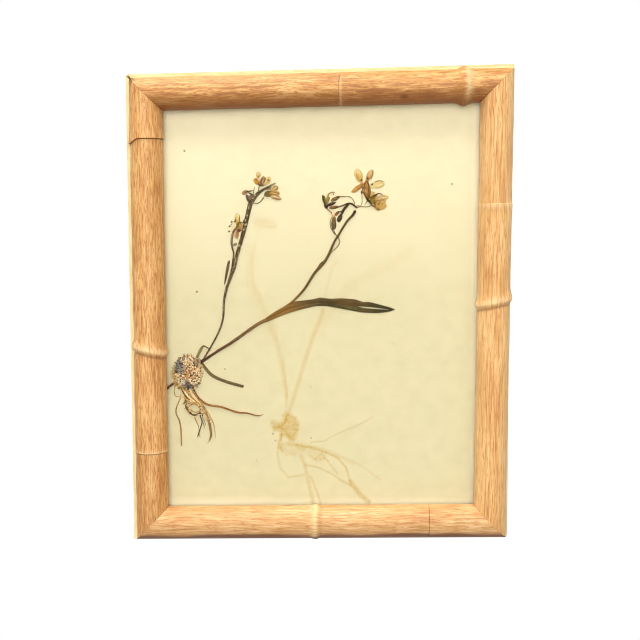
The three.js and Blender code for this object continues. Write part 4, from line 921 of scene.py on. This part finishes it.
for _ in range(GRAINS):
    reach, turn = np.sqrt(rng.uniform(0, 0.93)), rng.uniform(0, 2 * np.pi)
    level = PLANT_FLOOR + CROWN_THICKNESS * (0.5 + 0.40 * np.sqrt(1 - reach ** 2))
    parts.append(pebble((*crown_place(reach, turn), level), rng.uniform(0.8, 1.5, 3) * (1, 1, 0.5), rng))
# Bristles all round the crown, and a tuft of longer ones at its lower left.
for count, bearings, lengths, tints in (
        (BRISTLES, (0, 2 * np.pi), (0.8, 2.4), [TAN, STRAW, BARK, "#4A3826", "#6E5232"]),
        (TUFT, (3.0, 4.4), (1.5, 4.0), [TAN, STRAW, "#B8924A", "#96702F"])):
    for _ in range(count):
        turn = rng.uniform(*bearings)
        lean = turn + rng.uniform(-0.7, 0.7)
        parts.append(loose_hair(rng, crown_place(0.94, turn), lean, lengths, 0.55, tints, 1.3))
lay("root_crown", parts, dried_skin("dried_corm_and_soil", 0.7, 4.0, 0, 0.8, (0.6, 1.5)))

# Flowers and buds
# Five-petalled blossoms, some open and some withered, with their calyxes, stamens, buds and seed capsules.
# Pressed petals are thin and translucent: straw yellow, browner at the base where they overlap.
ANTHER_LENGTH, ANTHER_WIDTH = 1.24, 1.05


def oval(base, tip, width, tints, thick=0.3, lift=0.0, ruffle=0.0, edge=None, rings=7, spokes=30):
    """A petal, sepal, bud or anther laid flat: a thin lens from base to tip, fullest past half way."""
    base, tip = np.asarray(base, float), np.asarray(tip, float)
    axis = tip - base
    length = np.linalg.norm(axis)
    axis /= length
    ring = np.linspace(0, 1, rings + 1)[1:, None]
    turn = np.linspace(0, 2 * np.pi, spokes, endpoint=False)[None, :]
    wavy = 1 + 0.05 * np.sin(5 * turn + length) * (ring > 0.9)
    along = length / 2 + ring * wavy * length / 2 * np.cos(turn)
    across = ring * wavy * width / 2 * np.sin(turn) * (1 + 0.22 * np.cos(turn))
    wave = ruffle * (np.sin(3 * turn + length) + 0.6 * np.sin(7 * turn + width)) * ring ** 2
    dome = np.sqrt(np.clip(1 - ring ** 2, 0, 1))
    x = base[0] + axis[0] * along - axis[1] * across
    y = base[1] + axis[1] * along + axis[0] * across
    level = PLANT_FLOOR + 0.3 * ruffle + lift
    upper = np.stack((x, y, level + wave + thick * dome), -1).reshape(-1, 3)
    lower = np.stack((x, y, level + wave), -1).reshape(-1, 3)
    middle = (base + tip) / 2
    verts = np.vstack((upper, lower[:-spokes], [(*middle, level + thick), (*middle, level)]))
    top = np.arange(rings * spokes).reshape(rings, spokes)
    low = rings * spokes + np.arange((rings - 1) * spokes).reshape(rings - 1, spokes)
    low = np.vstack((low, top[-1:]))
    hub = len(verts) - 2
    faces = []
    for grid, heart in ((top, hub), (low, hub + 1)):
        faces += grid_faces(grid, closed=True).tolist()
        faces += [[heart, a, b] for a, b in zip(grid[0], np.roll(grid[0], -1))]
    out = verts[:, :2] - base
    run = np.clip(out @ axis / length, 0, 1)
    side = (out @ np.array((-axis[1], axis[0]))) / (width / 2)
    tint = blend_along([linear(t) for t in tints], run)
    if edge:
        rimmed = np.clip(np.maximum(np.abs(side), np.abs(2 * run - 1)), 0, 1)[:, None] ** 5
        tint = tint * (1 - 0.7 * rimmed) + np.array(linear(edge)) * 0.7 * rimmed
    return verts, faces, {"tint": tint, "along": run * length, "across": side}


def stamen(foot, tip, tint):
    """A thread with its anther."""
    foot, tip = np.asarray(foot, float), np.asarray(tip, float)
    reach = tip - foot
    bend = (foot + tip) / 2 + 0.12 * np.array((-reach[1], reach[0]))
    half = ANTHER_LENGTH / 2 * reach / np.linalg.norm(reach)
    thread = strand([foot, bend, tip], [0.25, 0.2, 0.2], ["#D6BC84", "#D6BC84", "#C2A66E"],
                    height=0.2, lift=0.7, sides=5)
    anther = oval(tip - half, tip + half, ANTHER_WIDTH, [tint, tint],
                  thick=0.5, lift=0.7, rings=3, spokes=12)
    return [thread, anther]


petal_skin = dried_skin("dried_petal", 5.0, 5.0, 0, 0.65, (0.7, 1.2))
bud_skin = dried_skin("dried_bud", 3.0, 4.0, 0, 0.65, (0.75, 1.5))
lay("flower_large", [
    oval((25.6, 76.8), (22.3, 85.3), 4.9, ["#CC9C50", "#D2B06A", "#DCC890"], edge="#D0B67C", ruffle=0.12),
    strand([(24.3, 79.0), (22.9, 81.6), (22.3, 83.4)],
           [0.8, 1.6, 0.7], ["#CFA050", "#D2A452", "#D8B874"], height=0.15, lift=0.33),
    oval((28.4, 77.5), (32.3, 84.7), 3.5, ["#A87A40", "#C89E60", "#D4B078"], edge="#9E7640", ruffle=0.12),
    strand([(31.9, 84.3), (32.4, 81.9), (31.2, 78.2)],
           [0.3, 0.35, 0.3], ["#A88048", "#9A7440", "#B08A50"], height=0.2, lift=0.35),
    oval((30.2, 74.4), (39.4, 76.5), 4.3, ["#E0C682", "#E0C886", "#D4B87A"], edge="#C6A464", ruffle=0.12),
    strand([(33.4, 77.3), (36.2, 78.0), (39.1, 77.6)],
           [0.4, 0.55, 0.4], ["#B88A4C", "#A0743C", "#A87E46"], height=0.3, lift=0.35),
    oval((27.1, 76.4), (19.5, 71.1), 2.8, ["#B8763A", "#C48E44", "#CCA666"], edge="#9A7038", lift=0.1),
    strand([(26.0, 75.3), (23.4, 73.1), (19.9, 71.3)],
           [0.4, 0.45, 0.35], ["#8E5A2A", "#9A6A34", "#A87C42"], height=0.3, lift=0.4),
    strand([(25.4, 76.2), (22.8, 74.8), (20.4, 72.6)],
           [0.5, 0.5, 0.3], ["#D28A50", "#CC9048", "#C89A54"], height=0.2, lift=0.45),
    oval((24.4, 76.6), (27.0, 76.5), 1.3, ["#E0A486", "#D28C62", "#C07A44"],
         thick=0.3, lift=0.45, rings=3, spokes=14),
    oval((28.4, 78.8), (29.4, 66.8), 4.2, ["#8E6232", "#A4742F", "#96682E", "#7A5A2C"],
         thick=0.8, lift=0.15, edge="#84602E"),
    oval((27.3, 72.7), (29.4, 70.9), 1.6, ["#B88250", "#C89060", "#A8703A"],
         thick=0.4, lift=0.85, rings=4, spokes=16),
    oval((28.4, 77.1), (29.1, 73.3), 1.9, ["#7E5628", "#B08848", "#9A7038"],
         thick=0.3, lift=0.85, rings=4, spokes=16),
    strand([(25.7, 75.5), (26.2, 72.7), (26.9, 70.2), (28.4, 68.1), (30.2, 65.9)],
           [0.45, 0.5, 0.5, 0.55, 0.6], ["#8A5E34", "#7A5024", "#6E4820", "#5E4620", "#54421F"], lift=0.6),
    strand([(29.4, 77.9), (30.0, 74.9), (29.9, 71.6), (29.6, 68.3)],
           [0.5, 0.6, 0.6, 0.5], ["#75522A", "#6A4A24", "#5E4220", "#5E4622"], lift=0.7),
    strand([(28.6, 78.2), (28.0, 76.4), (26.7, 74.2), (26.4, 72.4)],
           [0.45, 0.45, 0.5, 0.45], ["#75481F", "#84542A", "#754A22", "#6A4620"], lift=0.8),
    strand([(27.8, 70.5), (28.7, 69.0), (29.4, 67.7)],
           [0.4, 0.5, 0.4], ["#B08040", "#B88A4A", "#8E6A34"], lift=0.95),
    oval((25.4, 72.3), (25.8, 70.2), 1.1, ["#8A6844", "#664830", "#4A3626"],
         thick=0.4, lift=0.2, rings=4, spokes=14),
    *stamen((26.6, 76.8), (25.4, 78.5), "#4A4018"),
    *stamen((28.6, 77.5), (29.3, 79.7), "#5A3E1A"),
    *stamen((30.3, 76.0), (32.0, 75.9), "#4E421C"),
], petal_skin)
lay("flower_half_closed", [
    oval((31.5, 65.9), (40.2, 65.3), 5.6, ["#9A7434", "#CCA45C", "#D2AE68"], edge="#B08A48", ruffle=0.1),
    oval((31.0, 67.6), (32.7, 71.6), 3.0, ["#AE8242", "#C8A45E", "#D4B478"], edge="#A88448", ruffle=0.1),
    oval((33.4, 66.4), (41.9, 68.2), 3.6, ["#B88E46", "#D4B072", "#D8B87E"],
         edge="#B08C4E", lift=0.15, ruffle=0.15),
    oval((33.7, 63.8), (40.7, 62.1), 4.4, ["#B88840", "#CEA458", "#D2AC66"],
         edge="#AE8040", lift=0.1, ruffle=0.15),
    oval((32.8, 63.8), (37.2, 60.2), 3.0, ["#94703A", "#C69A52", "#B88E4C"],
         edge="#84622E", lift=0.15, ruffle=0.1),
    oval((30.4, 66.8), (34.5, 64.9), 3.6, ["#75602A", "#8A6E2C", "#A88644"],
         thick=0.7, lift=0.2, edge="#6A5424"),
    oval((30.8, 67.6), (35.2, 69.7), 1.8, ["#75592A", "#84622C", "#8A6436"], thick=0.4, lift=0.3),
    strand([(32.3, 68.3), (34.1, 69.6), (36.5, 70.3), (38.5, 69.3)],
           [0.6, 0.8, 0.8, 0.5], ["#6A5022", "#785626", "#6A4426", "#84602F"], lift=0.55),
    strand([(35.2, 66.2), (37.1, 67.5), (39.3, 67.8), (41.1, 67.4)],
           [0.4, 0.55, 0.5, 0.35], ["#E6CC94", "#EAD4A0", "#E6CC94", "#DCC08A"], lift=0.55),
    strand([(34.5, 65.9), (36.1, 67.1), (38.2, 68.2), (40.0, 68.7)],
           [0.4, 0.5, 0.45, 0.35], ["#94682C", "#A87A36", "#B08844", "#B89454"], lift=0.5),
    strand([(34.7, 65.3), (36.7, 66.3), (38.9, 66.5), (40.4, 66.0)],
           [0.4, 0.45, 0.4, 0.3], ["#A0742F", "#A87C38", "#B08A46", "#BC9858"], lift=0.5),
    strand([(35.2, 64.6), (37.1, 65.3), (39.1, 64.7)],
           [0.5, 0.6, 0.4], ["#E2C488", "#E8CE96", "#DEC088"], lift=0.55),
    strand([(35.8, 62.9), (36.1, 64.6), (37.1, 65.5), (38.6, 65.7)],
           [0.55, 0.7, 0.55, 0.35], ["#A86C2C", "#9A6226", "#A87434", "#BC8E46"], lift=0.6),
    strand([(37.7, 61.4), (38.6, 63.4), (38.2, 64.9)],
           [0.35, 0.5, 0.4], ["#B08442", "#A87838", "#B08442"], lift=0.55),
    strand([(39.1, 61.4), (39.9, 63.1), (39.7, 64.5)],
           [0.3, 0.4, 0.3], ["#C0984E", "#B88E48", "#C09C58"], lift=0.5),
    strand([(32.3, 66.8), (33.6, 64.9), (34.1, 62.7)],
           [0.5, 0.6, 0.5], ["#6A5620", "#755C26", "#785828"], lift=0.8),
    oval((34.7, 61.4), (36.1, 60.7), 0.8, ["#7A5426", "#75502A"], thick=0.3, lift=0.5, rings=3, spokes=12),
    strand([(29.7, 66.1), (31.0, 64.2), (32.6, 62.8), (34.5, 61.7)],
           [0.7, 0.8, 0.8, 0.4], ["#54452A", "#5A4828", "#664E2A", "#84643A"], lift=0.4),
    oval((28.0, 67.6), (30.8, 65.3), 1.2, ["#6A5C38", "#4A3C22", "#44361F"],
         thick=0.4, lift=0.3, rings=4, spokes=14),
], petal_skin)
lay("flower_old", [
    oval((3.4, 63.4), (1.8, 69.7), 2.1, ["#5A4E2A", "#827A3C", "#6A6634"], thick=0.4, edge="#46421F"),
    oval((3.7, 63.9), (5.4, 68.9), 2.4, ["#6A5A2C", "#94823E", "#A8853E"],
         thick=0.4, lift=0.1, edge="#8A7034"),
    strand([(5.1, 68.6), (5.4, 70.1), (6.5, 71.0), (8.0, 71.4), (9.4, 71.1)],
           [0.6, 0.7, 0.7, 0.6, 0.35], ["#B08A4A", "#B8844A", "#A8703A", "#B07A44", "#C49C66"], lift=0.2),
    strand([(4.2, 69.0), (4.5, 70.0), (5.4, 70.6)],
           [0.5, 0.6, 0.4], ["#D2B476", "#DCC08A", "#DCC08A"], lift=0.1),
    strand([(1.9, 69.5), (2.2, 66.9), (3.0, 63.9)],
           [0.5, 0.6, 0.6], ["#4E4C26", "#4A4622", "#4A3A28"], lift=0.4),
    oval((7.9, 70.3), (8.6, 70.1), 0.8, ["#54482A", "#54482A"], thick=0.4, rings=3, spokes=10),
    oval((2.9, 64.5), (4.4, 61.4), 2.0, ["#5E442E", "#4A3424", "#523A28"], thick=0.7, lift=0.2),
    oval((3.4, 63.4), (6.0, 63.4), 1.4, ["#4E3828", "#4A3424"], thick=0.6, lift=0.3),
    strand([(4.3, 61.7), (5.3, 60.3), (7.0, 59.0), (7.7, 57.6), (7.9, 56.2)],
           [0.7, 0.6, 0.6, 0.6, 0.6], ["#6A4A36", "#8A6644", "#94704A", "#9A7850", "#8A6C46"]),
], petal_skin)
lay("flower_left_low", [
    oval((-51.1, 51.5), (-51.0, 59.1), 3.1, ["#CE9450", "#DCAE5C", "#E0C47C", "#D8CC94"],
         edge="#CCB274", ruffle=0.1),
    strand([(-49.8, 58.0), (-49.5, 56.1), (-49.7, 53.9)],
           [0.35, 0.5, 0.6], ["#A89450", "#8A7438", "#75602C"], lift=0.35),
    strand([(-52.5, 56.8), (-52.3, 55.4), (-51.9, 53.7)],
           [0.35, 0.45, 0.35], ["#B08E4E", "#98743A", "#A88044"], lift=0.35),
    strand([(-51.2, 57.3), (-50.9, 55.4), (-51.1, 53.4)],
           [0.4, 0.6, 0.5], ["#E4CC8A", "#E2BE72", "#E0B070"], lift=0.36),
    oval((-51.3, 48.8), (-52.8, 44.2), 2.4, ["#C49A76", "#DEBA94", "#E4C8A0"], edge="#DCBC94", ruffle=0.1),
    oval((-50.9, 49.1), (-51.7, 43.0), 2.2, ["#94623A", "#AC784E", "#BE9064"],
         edge="#CAA67C", lift=0.15, ruffle=0.1),
    oval((-48.3, 52.4), (-48.0, 47.6), 2.2, ["#C0926A", "#D4AC8C", "#B4825C"], lift=0.1),
    oval((-50.0, 53.7), (-50.2, 47.6), 3.8, ["#75652E", "#9A7A40", "#A07844", "#84583A"],
         thick=0.7, lift=0.2),
    oval((-49.6, 52.7), (-48.2, 49.3), 2.2, ["#A88448", "#BC9050", "#A87C4A"], thick=0.4, lift=0.65),
    oval((-51.1, 49.3), (-49.3, 47.6), 1.8, ["#8A6248", "#6A4230", "#744C36"], thick=0.5, lift=0.6),
    strand([(-49.7, 54.0), (-48.4, 53.1), (-47.2, 53.4), (-46.7, 55.6)],
           [0.7, 0.8, 0.8, 0.5], ["#84703A", "#756230", "#6A5A2C", "#5A4C2C"], lift=0.5),
    strand([(-51.9, 49.8), (-50.9, 51.2), (-50.1, 52.7), (-49.7, 53.7)],
           [0.9, 0.9, 0.8, 0.6], ["#75602E", "#75642F", "#7A6832", "#84723A"], lift=0.8),
    *stamen((-51.5, 52.7), (-52.5, 53.9), "#664620"),
    *stamen((-52.7, 52.0), (-54.5, 53.7), "#4A4634"),
    *stamen((-52.8, 50.8), (-55.8, 51.0), "#50402C"),
    *stamen((-53.1, 49.8), (-56.2, 47.8), "#565042"),
    oval((-54.3, 51.9), (-55.0, 52.2), 0.6, ["#8A6440", "#7A5636"],
         thick=0.3, lift=0.6, rings=3, spokes=10),
], petal_skin)
lay("flower_top_left", [
    oval((-37.6, 78.4), (-32.2, 77.8), 4.6, ["#C89446", "#B88C4C", "#D0AC66"], ruffle=0.05),
    oval((-37.3, 76.1), (-40.2, 80.1), 3.0, ["#84622A", "#C88C38", "#CC9846"],
         edge="#9A6E30", lift=0.1, ruffle=0.08),
    oval((-37.9, 80.1), (-37.5, 84.2), 2.9, ["#C0924A", "#D2B272", "#D6BC84"],
         edge="#C0A060", lift=0.1, ruffle=0.08),
    oval((-38.1, 78.7), (-36.2, 79.9), 1.6, ["#D6A46E", "#E2BC98", "#E4C6A2"],
         lift=0.3, rings=4, spokes=16),
    oval((-37.9, 81.2), (-37.4, 81.7), 0.9, ["#7A5A26", "#7A5A26"],
         thick=0.4, lift=0.35, rings=3, spokes=12),
    oval((-39.5, 79.7), (-38.6, 78.8), 0.8, ["#7A5A26", "#84602A"],
         thick=0.4, lift=0.35, rings=3, spokes=12),
    oval((-36.5, 75.8), (-34.0, 81.2), 3.1, ["#75583A", "#94704A", "#9A783E"],
         thick=0.5, lift=0.15, edge="#75582C"),
    oval((-34.5, 75.8), (-30.3, 80.9), 3.4, ["#C09A54", "#DABC78", "#DAC48A"],
         edge="#BE9C5A", lift=0.1, ruffle=0.08),
    strand([(-34.0, 76.6), (-33.0, 78.6), (-32.2, 80.1)],
           [0.4, 0.6, 0.35], ["#E4CE98", "#ECDAA8", "#E4CE98"], lift=0.5),
    strand([(-31.6, 76.5), (-30.8, 78.3), (-30.4, 79.9)],
           [0.3, 0.4, 0.3], ["#C8A464", "#C09C5A", "#B89454"], lift=0.45),
    strand([(-35.2, 76.7), (-34.9, 78.5), (-34.1, 79.6)],
           [0.6, 0.7, 0.4], ["#C29E7C", "#D2AE90", "#A8825A"], lift=0.6),
    strand([(-36.1, 76.9), (-35.9, 78.8), (-34.9, 80.7)],
           [0.4, 0.5, 0.5], ["#5E4A2A", "#664E2A", "#6A5228"], lift=0.6),
    strand([(-33.8, 77.2), (-33.6, 79.1), (-33.2, 80.6)],
           [0.4, 0.5, 0.5], ["#705630", "#785E30", "#745C2E"], lift=0.6),
    oval((-32.0, 78.5), (-31.1, 79.4), 1.0, ["#75602A", "#75602A"],
         thick=0.4, lift=0.45, rings=3, spokes=12),
    strand([(-38.3, 77.4), (-37.3, 76.4), (-36.0, 75.7), (-34.0, 75.6)],
           [0.5, 0.9, 1.0, 0.5], ["#75602E", "#5A4C2A", "#564828", "#84704A"], lift=0.5),
], petal_skin)
lay("flower_top_right", [
    oval((-31.3, 70.8), (-24.9, 69.7), 5.0, ["#A8843E", "#D2AC60", "#D8B272"], ruffle=0.08),
    oval((-30.5, 72.5), (-25.4, 74.6), 2.3, ["#C09A54", "#DCC080", "#D6B46E"], lift=0.05, ruffle=0.05),
    strand([(-28.8, 73.2), (-28.6, 74.7), (-27.3, 75.5), (-25.8, 75.0),
            (-25.8, 73.9), (-27.2, 73.0), (-28.3, 73.3)],
           [0.5, 0.6, 0.6, 0.6, 0.6, 0.5, 0.4],
           ["#A87A3A", "#AE8444", "#BC9656", "#B08A4A", "#9A7030", "#8A6428", "#9A7032"], lift=0.35),
    oval((-30.2, 71.4), (-24.7, 70.8), 2.5, ["#C09452", "#D6AE6C", "#C2965A"],
         edge="#A87C42", lift=0.15, ruffle=0.1),
    oval((-30.7, 69.5), (-23.7, 67.3), 2.6, ["#CCA468", "#DCBA80", "#C49E6C"],
         edge="#B0844C", lift=0.1, ruffle=0.1),
    strand([(-29.7, 72.0), (-27.3, 71.5), (-24.7, 70.2)],
           [0.4, 0.55, 0.4], ["#94662C", "#A06A30", "#8A6234"], lift=0.5),
    strand([(-29.7, 70.7), (-27.1, 70.1), (-24.5, 68.4)],
           [0.4, 0.5, 0.35], ["#A8763A", "#B07C40", "#A87E4E"], lift=0.5),
    strand([(-29.7, 67.9), (-26.8, 67.6), (-24.0, 67.1)],
           [0.4, 0.55, 0.4], ["#9A7038", "#A86C36", "#84603E"], lift=0.45),
    strand([(-29.7, 69.3), (-27.1, 68.8), (-24.5, 67.6)],
           [0.4, 0.65, 0.4], ["#E6CCA0", "#ECD6AA", "#E2C49A"], lift=0.5),
    strand([(-29.7, 71.3), (-27.3, 70.8), (-25.5, 70.4)],
           [0.35, 0.5, 0.35], ["#E0BE7C", "#E6C888", "#D6B074"], lift=0.55),
    oval((-33.9, 69.6), (-29.4, 71.2), 3.6, ["#6E5E32", "#8E783E", "#B08C44"], thick=0.7, lift=0.2),
    oval((-32.0, 71.1), (-29.0, 71.5), 1.8, ["#94783A", "#BC9448", "#C49C52"], thick=0.4, lift=0.7),
    strand([(-33.9, 69.2), (-33.7, 70.9), (-32.5, 72.1), (-30.5, 72.5)],
           [0.5, 0.6, 0.5, 0.4], ["#4A4024", "#524628", "#665228", "#755A2C"], lift=0.6),
    strand([(-32.1, 70.1), (-31.3, 71.4), (-29.7, 72.3)],
           [0.4, 0.5, 0.5], ["#5E4E2A", "#6A5028", "#7E5E2C"], lift=0.95),
], petal_skin)

# Each bud or capsule: its base, tip and width, its tints from base to tip, and a darker edge.
BUDS = {
    "bud_left_low": [((-53.8, 39.2), (-51.6, 40.4), 1.6, ["#5E5434", "#7E744A", "#88805A"], "#5E5636")],
    "bud_top_pale": [((-44.3, 72.6), (-48.0, 70.7), 2.5, ["#6A5632", "#946C46", "#B08860"], "#75603C"),
                     ((-47.6, 71.7), (-41.0, 72.8), 0.8, ["#5A4A30", "#4E4428", "#6A5A38"], "#4A4026"),
                     ((-44.6, 71.7), (-41.2, 70.3), 0.8, ["#5A4A34", "#4A3E28", "#54462E"], "#443A24")],
    "bud_top_dark": [((-43.4, 65.2), (-45.2, 70.4), 2.0, ["#5A4836", "#544034", "#5A4A3A"], "#443428"),
                     ((-44.0, 69.2), (-40.6, 68.1), 2.6, ["#7A5E4C", "#846652", "#664C3A"], "#7A6450")],
    "bud_stalked": [((11.9, 62.5), (5.5, 61.7), 2.0, ["#543A30", "#75542E", "#84643A"], "#5E4428")],
    "bud_dark": [((9.8, 65.2), (4.6, 63.2), 2.0, ["#463024", "#523A2A", "#463226"], "#3A281E")],
    "bud_upper": [((12.4, 68.8), (6.8, 66.0), 2.3, ["#4A3E24", "#75582E", "#94703E"], "#5A4628")],
    "bud_orange": [((7.6, 59.4), (8.9, 56.3), 1.9, ["#DCB890", "#DCB88A", "#D0A070"], "#D2A880"),
                   ((11.8, 59.8), (9.1, 57.0), 1.8, ["#4A3222", "#84583A", "#A07250"], "#6E4A30"),
                   ((10.8, 59.4), (13.4, 59.5), 0.7, ["#3A2A1E", "#33261C"], "#33261C")],
    "capsule_olive": [((8.6, 57.1), (8.3, 48.1), 3.0, ["#84643E", "#665430", "#5A4A2C"], "#463C22")],
    "capsule_dark": [((13.2, 58.1), (11.0, 53.1), 2.9, ["#463A26", "#50462F", "#463E2C"], "#3A3222")],
}
for name, ovals in BUDS.items():
    lay(name, [oval(base, tip, width, tints, thick=0.9, edge=edge, spokes=24)
               for base, tip, width, tints, edge in ovals], bud_skin)

# Backing board
# A sheet of grey-brown pulp board that presses the mount forward. Recycled pulp leaves flecks of
# lighter and darker fibre in its matte face.
PULP, FLECK = 1.8 * MM, 0.9 * MM
# Pulp board: dry and matte, with soft flecks that are drawn coarser than life, so that they show.
greyboard, tree, shader = finish_named("pulp_greyboard")
where = add(tree, "TexCoord").outputs["Object"]
pulp = add(tree, "TexNoise", {"Vector": where, "Scale": 1 / PULP, "Detail": 5.0}).outputs["Fac"]
fleck = add(tree, "TexNoise", {"Vector": where, "Scale": 1 / FLECK, "Detail": 2.0}).outputs["Fac"]
mixed = add(tree, "Math", {0: fleck, 1: 0.6, 2: pulp}, operation="MULTIPLY_ADD").outputs[0]
tone = add(tree, "ValToRGB", {"Fac": mixed}, [
    (0.5, linear("#8E7A5E")), (0.8, linear("#A08C6E")), (1.0, linear("#AA9678"))]).outputs[0]
matte = add(tree, "MapRange", {"Value": pulp, "To Min": 0.85, "To Max": 0.98}).outputs[0]
surfaced(shader, tone, matte, fleck, 0.3, 0.1)
refinish("backing_board", greyboard)

# Back fittings
# Six framer's points, stamped from bright steel strip and driven into the rabbet, hold the stack in. A
# sawtooth hanger of brassed steel is fixed to the top rail by two steel nails.
CLOUDING, SCRATCH_LENGTH, SCRATCH_WIDTH, EASED_EDGE = 4 * MM, 100 / 9 * MM, 0.4 * MM, 0.12 * MM


def worn_metal(name, dark, light, low, high):
    """Stamped sheet metal: a slightly clouded shine with fine handling scratches."""
    material, tree, shader = finish_named(name)
    where = add(tree, "TexCoord").outputs["Object"]
    cloud = add(tree, "TexNoise", {"Vector": where, "Scale": 1 / CLOUDING, "Detail": 4.0}).outputs["Fac"]
    drawn = (1 / SCRATCH_LENGTH, 1 / SCRATCH_WIDTH, 1 / SCRATCH_WIDTH)
    stretched = add(tree, "VectorMath", {0: where, 1: drawn}, operation="MULTIPLY").outputs[0]
    scratch = add(tree, "TexNoise", {"Vector": stretched, "Scale": 1.0, "Detail": 2.0}).outputs["Fac"]
    tone = add(tree, "ValToRGB", {"Fac": cloud}, [(0.35, linear(dark)), (0.65, linear(light))]).outputs[0]
    rough = add(tree, "MapRange", {"Value": scratch, "To Min": low, "To Max": high}).outputs[0]
    shader.inputs["Metallic"].default_value = 1.0
    surfaced(shader, tone, rough, scratch, 0.1, 0.03)
    return material


steel = worn_metal("bright_steel_strip", "#9A9A98", "#C4C4C0", 0.25, 0.5)
brass = worn_metal("brassed_steel", "#B08C48", "#D6B46C", 0.2, 0.45)
FITTINGS = {"sawtooth_hanger": brass, "hanger_nail_1": steel, "hanger_nail_2": steel}
FITTINGS.update({f"framers_point_{i}": steel for i in range(1, 7)})
for name, metal in FITTINGS.items():
    eased = refinish(name, metal).modifiers.new("eased_edges", "BEVEL")
    eased.width = EASED_EDGE
    eased.segments = 2
    eased.limit_method = "ANGLE"

# Floor
# A plain pale floor of trowelled plaster, well below the hanging picture. It is only the stage that the
# picture is shown on, and no part of it.
FLOOR_DROP, FLOOR_HALF, TROWEL_MARK = 1.4, 0.8, 60 * MM
floor_mesh = bpy.data.meshes.new("floor")
corners = [(FLOOR_HALF * x, FLOOR_HALF * y, -FLOOR_DROP) for x, y in ((-1, -1), (1, -1), (1, 1), (-1, 1))]
floor_mesh.from_pydata(corners, [], [(0, 1, 2, 3)])
floor = bpy.data.objects.new("floor", floor_mesh)
bpy.context.scene.collection.objects.link(floor)
# Plaster: chalky and nearly white, with no shine.
plaster, tree, shader = finish_named("pale_plaster")
where = add(tree, "TexCoord").outputs["Object"]
grit = add(tree, "TexNoise", {"Vector": where, "Scale": 1 / TROWEL_MARK, "Detail": 4.0}).outputs["Fac"]
pale = add(tree, "ValToRGB", {"Fac": grit}, [(0.3, linear("#EDECE9")), (0.7, linear("#F6F5F3"))]).outputs[0]
chalky = add(tree, "MapRange", {"Value": grit, "To Min": 0.85, "To Max": 0.95}).outputs[0]
surfaced(shader, pale, chalky, grit, 0.1, 1)
floor_mesh.materials.append(plaster)

# Light
# A soft light box in front of the picture and a little above it, a dim room that is brighter behind, and a
# long window overhead that shapes the rounds. The backdrop is white to the camera alone, so that the pane
# takes no veil from it.
SOFTBOX, ROOM, BEHIND, SOFTBOX_WAY = 3.85, 0.4, 0.75, (0, -0.975, 0.222)
scene = bpy.context.scene
scene.view_settings.view_transform = "Standard"
# Light through the pane is not blurred and the pixel filter is narrow, so that the finest hairs stay sharp.
scene.cycles.blur_glossy = 0
scene.cycles.filter_width = 1.0
world = bpy.data.worlds.new("studio")
scene.world = world
world.use_nodes = True
tree = world.node_tree
seen = add(tree, "LightPath").outputs["Is Camera Ray"]
way = add(tree, "TexCoord").outputs["Generated"]
ahead = add(tree, "VectorMath", {0: way, 1: SOFTBOX_WAY}, operation="DOT_PRODUCT").outputs["Value"]
softbox = add(tree, "MapRange", {"Value": ahead, "From Min": 0.84, "From Max": 0.985, "To Max": SOFTBOX},
              interpolation_type="SMOOTHSTEP").outputs[0]
room = add(tree, "MapRange", {"Value": ahead, "From Min": -0.8, "From Max": -0.1,
                              "To Min": BEHIND, "To Max": ROOM})
fill = add(tree, "Math", {0: softbox, 1: room.outputs[0]}, operation="ADD").outputs[0]
level = add(tree, "MapRange", {"Value": seen, "To Min": fill, "To Max": 1.0}).outputs[0]
background = tree.nodes["Background"]
background.inputs["Color"].default_value = linear("#FFFFFF")
tree.links.new(level, background.inputs["Strength"])

WINDOW_PLACE, WINDOW_SIZE, WINDOW_POWER = Vector((-0.1, -0.5, 1.2)), (2.6, 0.5), 26
window = bpy.data.lights.new("window", "AREA")
window.shape = "RECTANGLE"
window.size, window.size_y = WINDOW_SIZE
window.energy = WINDOW_POWER
lamp = bpy.data.objects.new("window", window)
lamp.location = WINDOW_PLACE
lamp.rotation_mode = "QUATERNION"
lamp.rotation_quaternion = (MIDDLE - WINDOW_PLACE).to_track_quat("-Z", "Y")
scene.collection.objects.link(lamp)

# Camera
# At arm's length, a little to the right of the picture's middle and above it, looking slightly down and
# turned back towards the middle, with the least roll.
CAMERA_PLACE, CAMERA_LENS, SENSOR = Vector((0.0328, -0.7, MIDDLE.z + 0.0546)), 63.44, 36
YAW, PITCH, ROLL = (math.radians(a) for a in (-2.744, -5.080, -0.407))
forward = Vector((math.sin(YAW) * math.cos(PITCH), math.cos(YAW) * math.cos(PITCH), math.sin(PITCH)))
level_right = Vector((math.cos(YAW), -math.sin(YAW), 0))
level_up = level_right.cross(forward)
right = level_right * math.cos(ROLL) + level_up * math.sin(ROLL)
up = level_up * math.cos(ROLL) - level_right * math.sin(ROLL)
camera = bpy.data.objects.new("camera", bpy.data.cameras.new("camera"))
camera.data.lens = CAMERA_LENS
camera.data.sensor_width = SENSOR
camera.data.clip_start = 0.01
camera.matrix_world = Matrix.Translation(CAMERA_PLACE) @ Matrix((right, up, -forward)).transposed().to_4x4()
scene.collection.objects.link(camera)
scene.camera = camera
